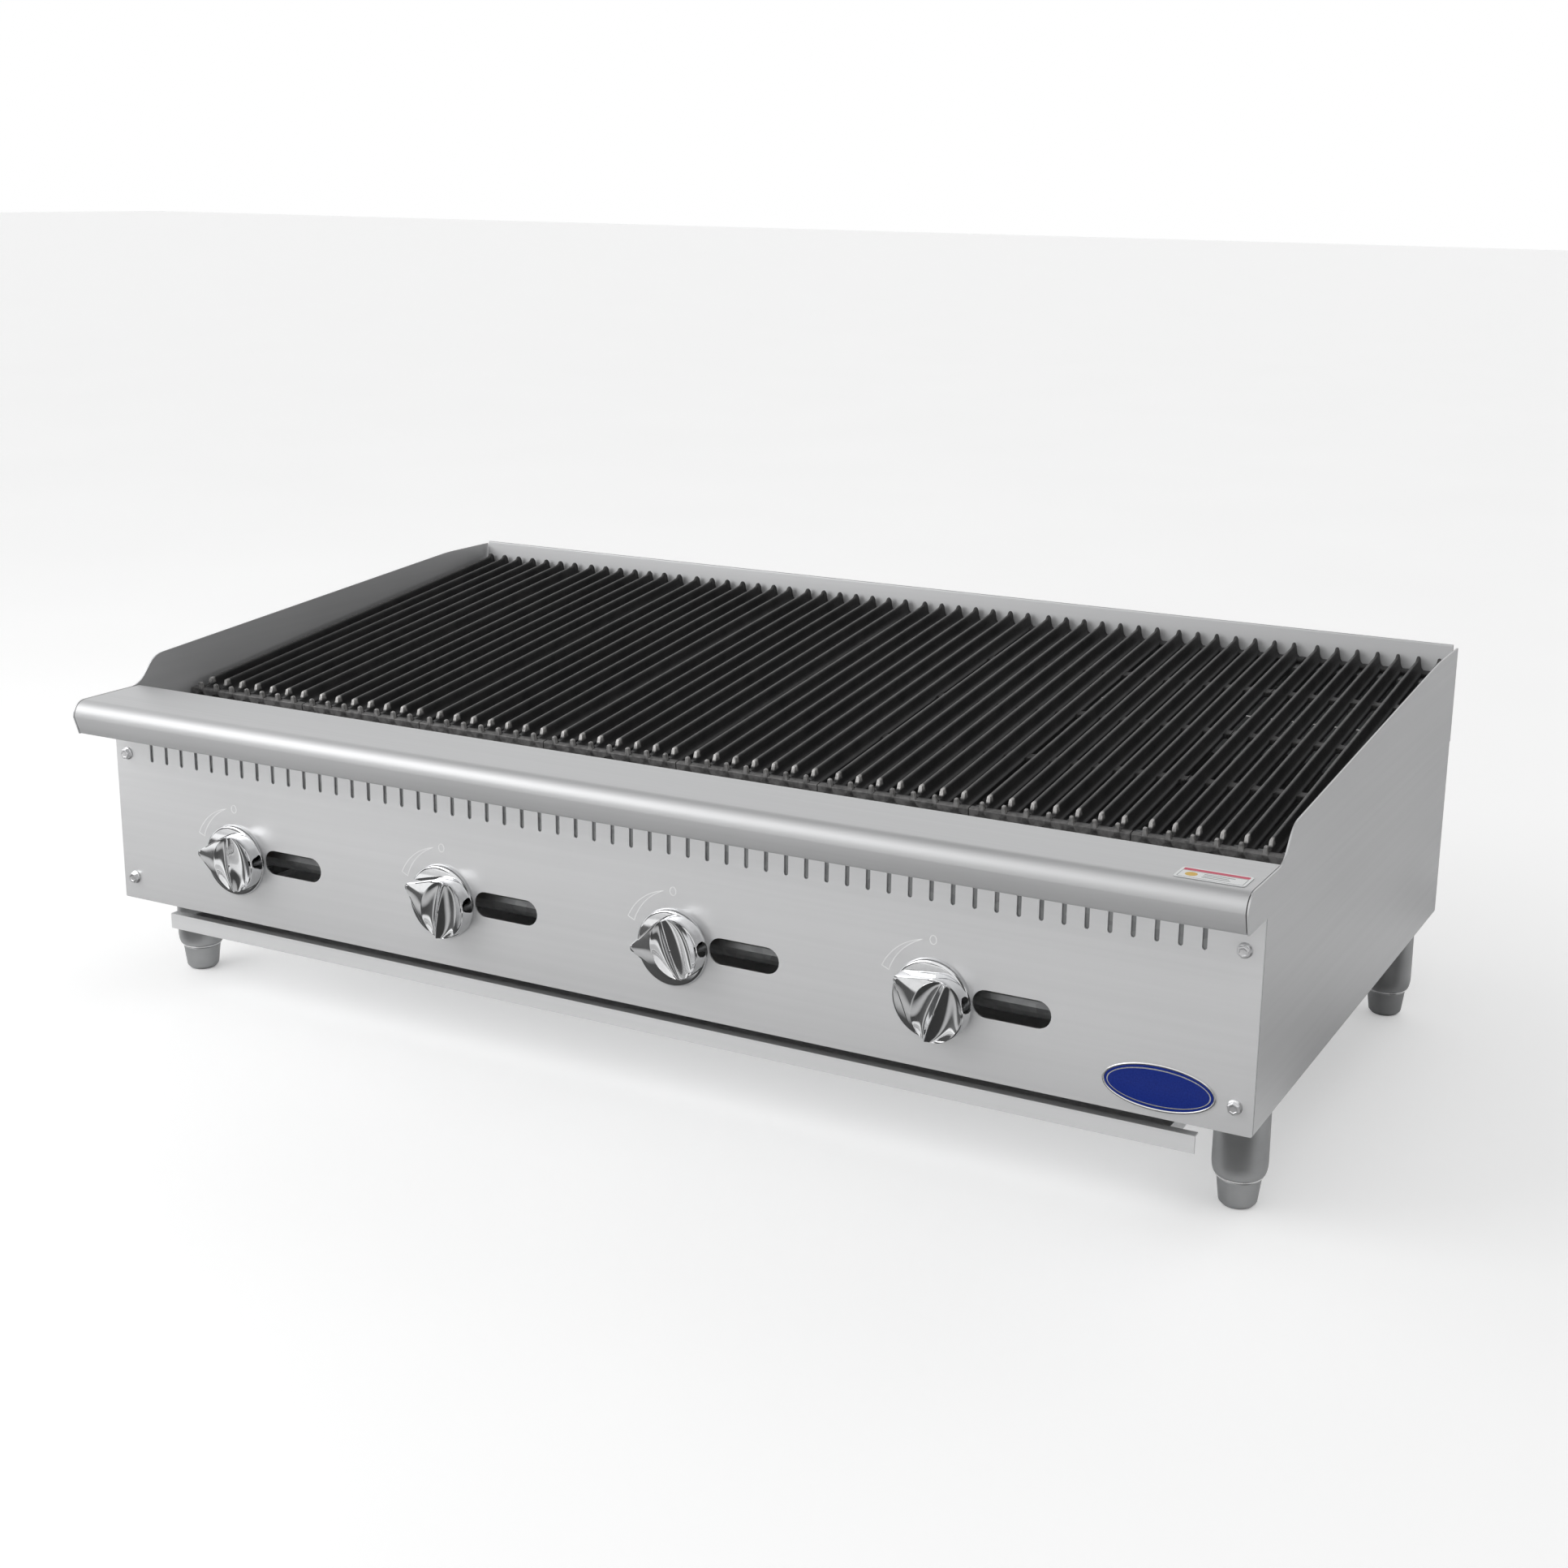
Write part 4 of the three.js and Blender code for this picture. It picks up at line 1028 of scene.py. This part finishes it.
def leg_lip(name):
    """The bright rolled lip at a leg's mouth."""
    node = f"leg_{name}"
    mesh = turned_mesh(node, LEG_LIP, 72, True)
    finish_mesh(f"{node}_lip", mesh, lip_plate, "cabinet", None, 60)


def foot(name):
    """A tapered cup with a threaded shank that screws up into the leg."""
    node = f"foot_{name}"
    top = box_mm(node)[1].z
    section = list(FOOT_CUP)
    z = THREAD["start"]
    while z < top - 3:
        section += [(THREAD["root"], z), (THREAD["crest"], z + THREAD["pitch"] / 2)]
        z += THREAD["pitch"]
    section += [(THREAD["root"], top - 1.2), (THREAD["tip"], top), (0, top)]
    mesh = turned_mesh(node, section, 64, False)
    finish_mesh(f"{node}_cup", mesh, leg_metal, f"foot_body_{name}", node, 28)


for name in ("front_left", "front_right", "rear_left", "rear_right"):
    leg(name)
    leg_lip(name)
    foot(name)

# ---- CAD nodes kept, with rounded edges and their materials ----------------------------------

KEPT = {
    "back_panel": (steel_ledge_shaded, 0.3),
    "drip_tray": (steel_tray_lit, 0.35),
    "tray_rail_left": (aluminised, 0.2),
    "tray_rail_right": (aluminised, 0.2),
    "grate_rail_front": (aluminised, 0.4),
    "grate_rail_rear": (aluminised, 0.4),
    "heat_baffle": (aluminised, 0.3),
    "burner_support_front": (aluminised, 0.4),
    "burner_support_rear": (aluminised, 0.4),
    "gas_manifold": (aluminised, 0.6),
    "gas_inlet_pipe": (aluminised, 0),
}
for i in range(1, 5):
    KEPT[f"burner_{i}"] = (shaded_burner_iron, 1.2)
    KEPT[f"radiant_{i}"] = (shaded_burner_iron, 0.8)
    KEPT[f"valve_{i}"] = (brass, 0.4)
for node, (material, width) in KEPT.items():
    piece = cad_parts[node]
    piece.data.materials.clear()
    piece.data.materials.append(material)
    if width:
        bevelled(piece, width, 2, 35)

# ---- Floor, light and camera -----------------------------------------------------------------

FLOOR_REACH = 30

floor_mesh = bpy.data.meshes.new("floor")
floor_corners = [(x * FLOOR_REACH, y * FLOOR_REACH, 0) for x, y in ((-1, -1), (1, -1), (1, 1), (-1, 1))]
floor_mesh.from_pydata(floor_corners, [], [(0, 1, 2, 3)])
floor = bpy.data.objects.new("floor", floor_mesh)
bpy.context.scene.collection.objects.link(floor)

# The floor is pale and glows a little. Only in what the metal reflects is the floor painted with dark and
# bright
# strips: a painted reflection that stands in for a studio's flags.
floor_look = Look("pale_floor", Roughness=0.7)
floor_tone = floor_look.noise((2, 2, 2), 2, 0.5)
floor_pale = floor_look.blend(floor_look.map(floor_tone, 0, 1), (0.92, 0.92, 0.92), (0.94, 0.94, 0.94))
floor_look.shader.inputs["Emission Color"].default_value = (1, 1, 1, 1)
glossy = floor_look.tree.nodes.new("ShaderNodeLightPath").outputs["Is Glossy Ray"]
floor_look.link(floor_look.map(glossy, 0.24, 0.0, 0, 1), floor_look.shader.inputs["Emission Strength"])
# The strips are painted reflection: the floor shows them to glossy rays only.
strips = floor_look.map(floor_look.noise((0.01, 3.4, 0.01), 0, 0.5), 0, 1, 0.44, 0.54)
floor_painted_reflection = floor_look.blend(strips, (0.03, 0.03, 0.03), (0.98, 0.98, 0.98))
floor_look.colour(floor_look.blend(glossy, floor_pale, floor_painted_reflection))
floor_mesh.materials.append(floor_look.material)


def area_light(name, place, aim, size, power):
    """A soft panel of light at place, aimed at a point, in metres."""
    data = bpy.data.lights.new(name, "AREA")
    data.shape = "RECTANGLE"
    data.size, data.size_y = size
    data.energy = power
    lamp = bpy.data.objects.new(name, data)
    lamp.location = place
    lamp.rotation_mode = "QUATERNION"
    lamp.rotation_quaternion = (Vector(aim) - Vector(place)).to_track_quat("-Z", "Y")
    bpy.context.scene.collection.objects.link(lamp)


area_light("front_soft", (-1.7, -1.7, 1.5), (-0.6, -0.3, 0.18), (2.0, 1.4), 20)

world = bpy.data.worlds.new("studio")
bpy.context.scene.world = world
world.use_nodes = True
tree = world.node_tree
tree.nodes.clear()
direction = tree.nodes.new("ShaderNodeTexCoord").outputs["Generated"]


def facing(towards, start, end, low, high):
    """low..high as the direction turns from start to end, both cosines of the angle from towards."""
    dot = tree.nodes.new("ShaderNodeVectorMath")
    dot.operation = "DOT_PRODUCT"
    dot.inputs[1].default_value = Vector(towards).normalized()
    tree.links.new(direction, dot.inputs[0])
    spread = tree.nodes.new("ShaderNodeMapRange")
    spread.interpolation_type = "SMOOTHSTEP"
    for socket, value in zip(("From Min", "From Max", "To Min", "To Max"), (start, end, low, high)):
        spread.inputs[socket].default_value = value
    tree.links.new(dot.outputs["Value"], spread.inputs["Value"])
    return spread.outputs["Result"]


def product(first, second):
    """Two shader values multiplied."""
    node = tree.nodes.new("ShaderNodeMath")
    node.operation = "MULTIPLY"
    tree.links.new(first, node.inputs[0])
    tree.links.new(second, node.inputs[1])
    return node.outputs[0]


# Seen directly the studio is white. What the metal reflects is brighter on the left, with three dark flags:
# one overhead towards the back, one in front on the right, and one low in front on the left.
surround = facing((1, 0, 0), -1, 1, 1.35, 0.85)
surround = product(surround, facing((-0.3, 0.3, 0.9), 0.86, 0.95, 1, 0.1))
surround = product(surround, facing((0.75, -0.6, 0.35), 0.88, 0.95, 1, 0.1))
surround = product(surround, facing((-0.75, -0.65, 0.1), 0.9, 0.96, 1, 0.08))
reflected = tree.nodes.new("ShaderNodeBackground")
tree.links.new(surround, reflected.inputs["Strength"])
seen = tree.nodes.new("ShaderNodeBackground")
seen.inputs["Color"].default_value = (1, 1, 1, 1)
chooser = tree.nodes.new("ShaderNodeMixShader")
tree.links.new(tree.nodes.new("ShaderNodeLightPath").outputs["Is Camera Ray"], chooser.inputs[0])
tree.links.new(reflected.outputs[0], chooser.inputs[1])
tree.links.new(seen.outputs[0], chooser.inputs[2])
tree.links.new(chooser.outputs[0], tree.nodes.new("ShaderNodeOutputWorld").inputs[0])

# The camera: turned to the left by yaw and down by pitch, in degrees, at a place in metres.
VIEW = dict(
    yaw=27.38, pitch=14.33, roll=0.89, place=(1.053, -1.897, 0.840), lens=50.3, shift=(-0.031, -0.031)
)


def add_camera():
    """The camera that sees the grill from its front right."""
    yaw, pitch, roll = (math.radians(VIEW[k]) for k in ("yaw", "pitch", "roll"))
    forward = Vector((-math.sin(yaw) * math.cos(pitch), math.cos(yaw) * math.cos(pitch), -math.sin(pitch)))
    right = Vector((math.cos(yaw), math.sin(yaw), 0))
    up = right.cross(forward)
    across = math.cos(roll) * right + math.sin(roll) * up
    upright = -math.sin(roll) * right + math.cos(roll) * up
    data = bpy.data.cameras.new("camera")
    data.sensor_width = 36
    data.lens = VIEW["lens"]
    data.shift_x, data.shift_y = VIEW["shift"]
    data.clip_start, data.clip_end = 0.05, 100
    camera = bpy.data.objects.new("camera", data)
    camera.matrix_world = Matrix.Translation(VIEW["place"]) @ Matrix(
        [[across[i], upright[i], -forward[i], 0] for i in range(3)] + [[0, 0, 0, 1]]
    )
    bpy.context.scene.collection.objects.link(camera)
    bpy.context.scene.camera = camera


add_camera()
bpy.context.scene.view_settings.view_transform = "Standard"
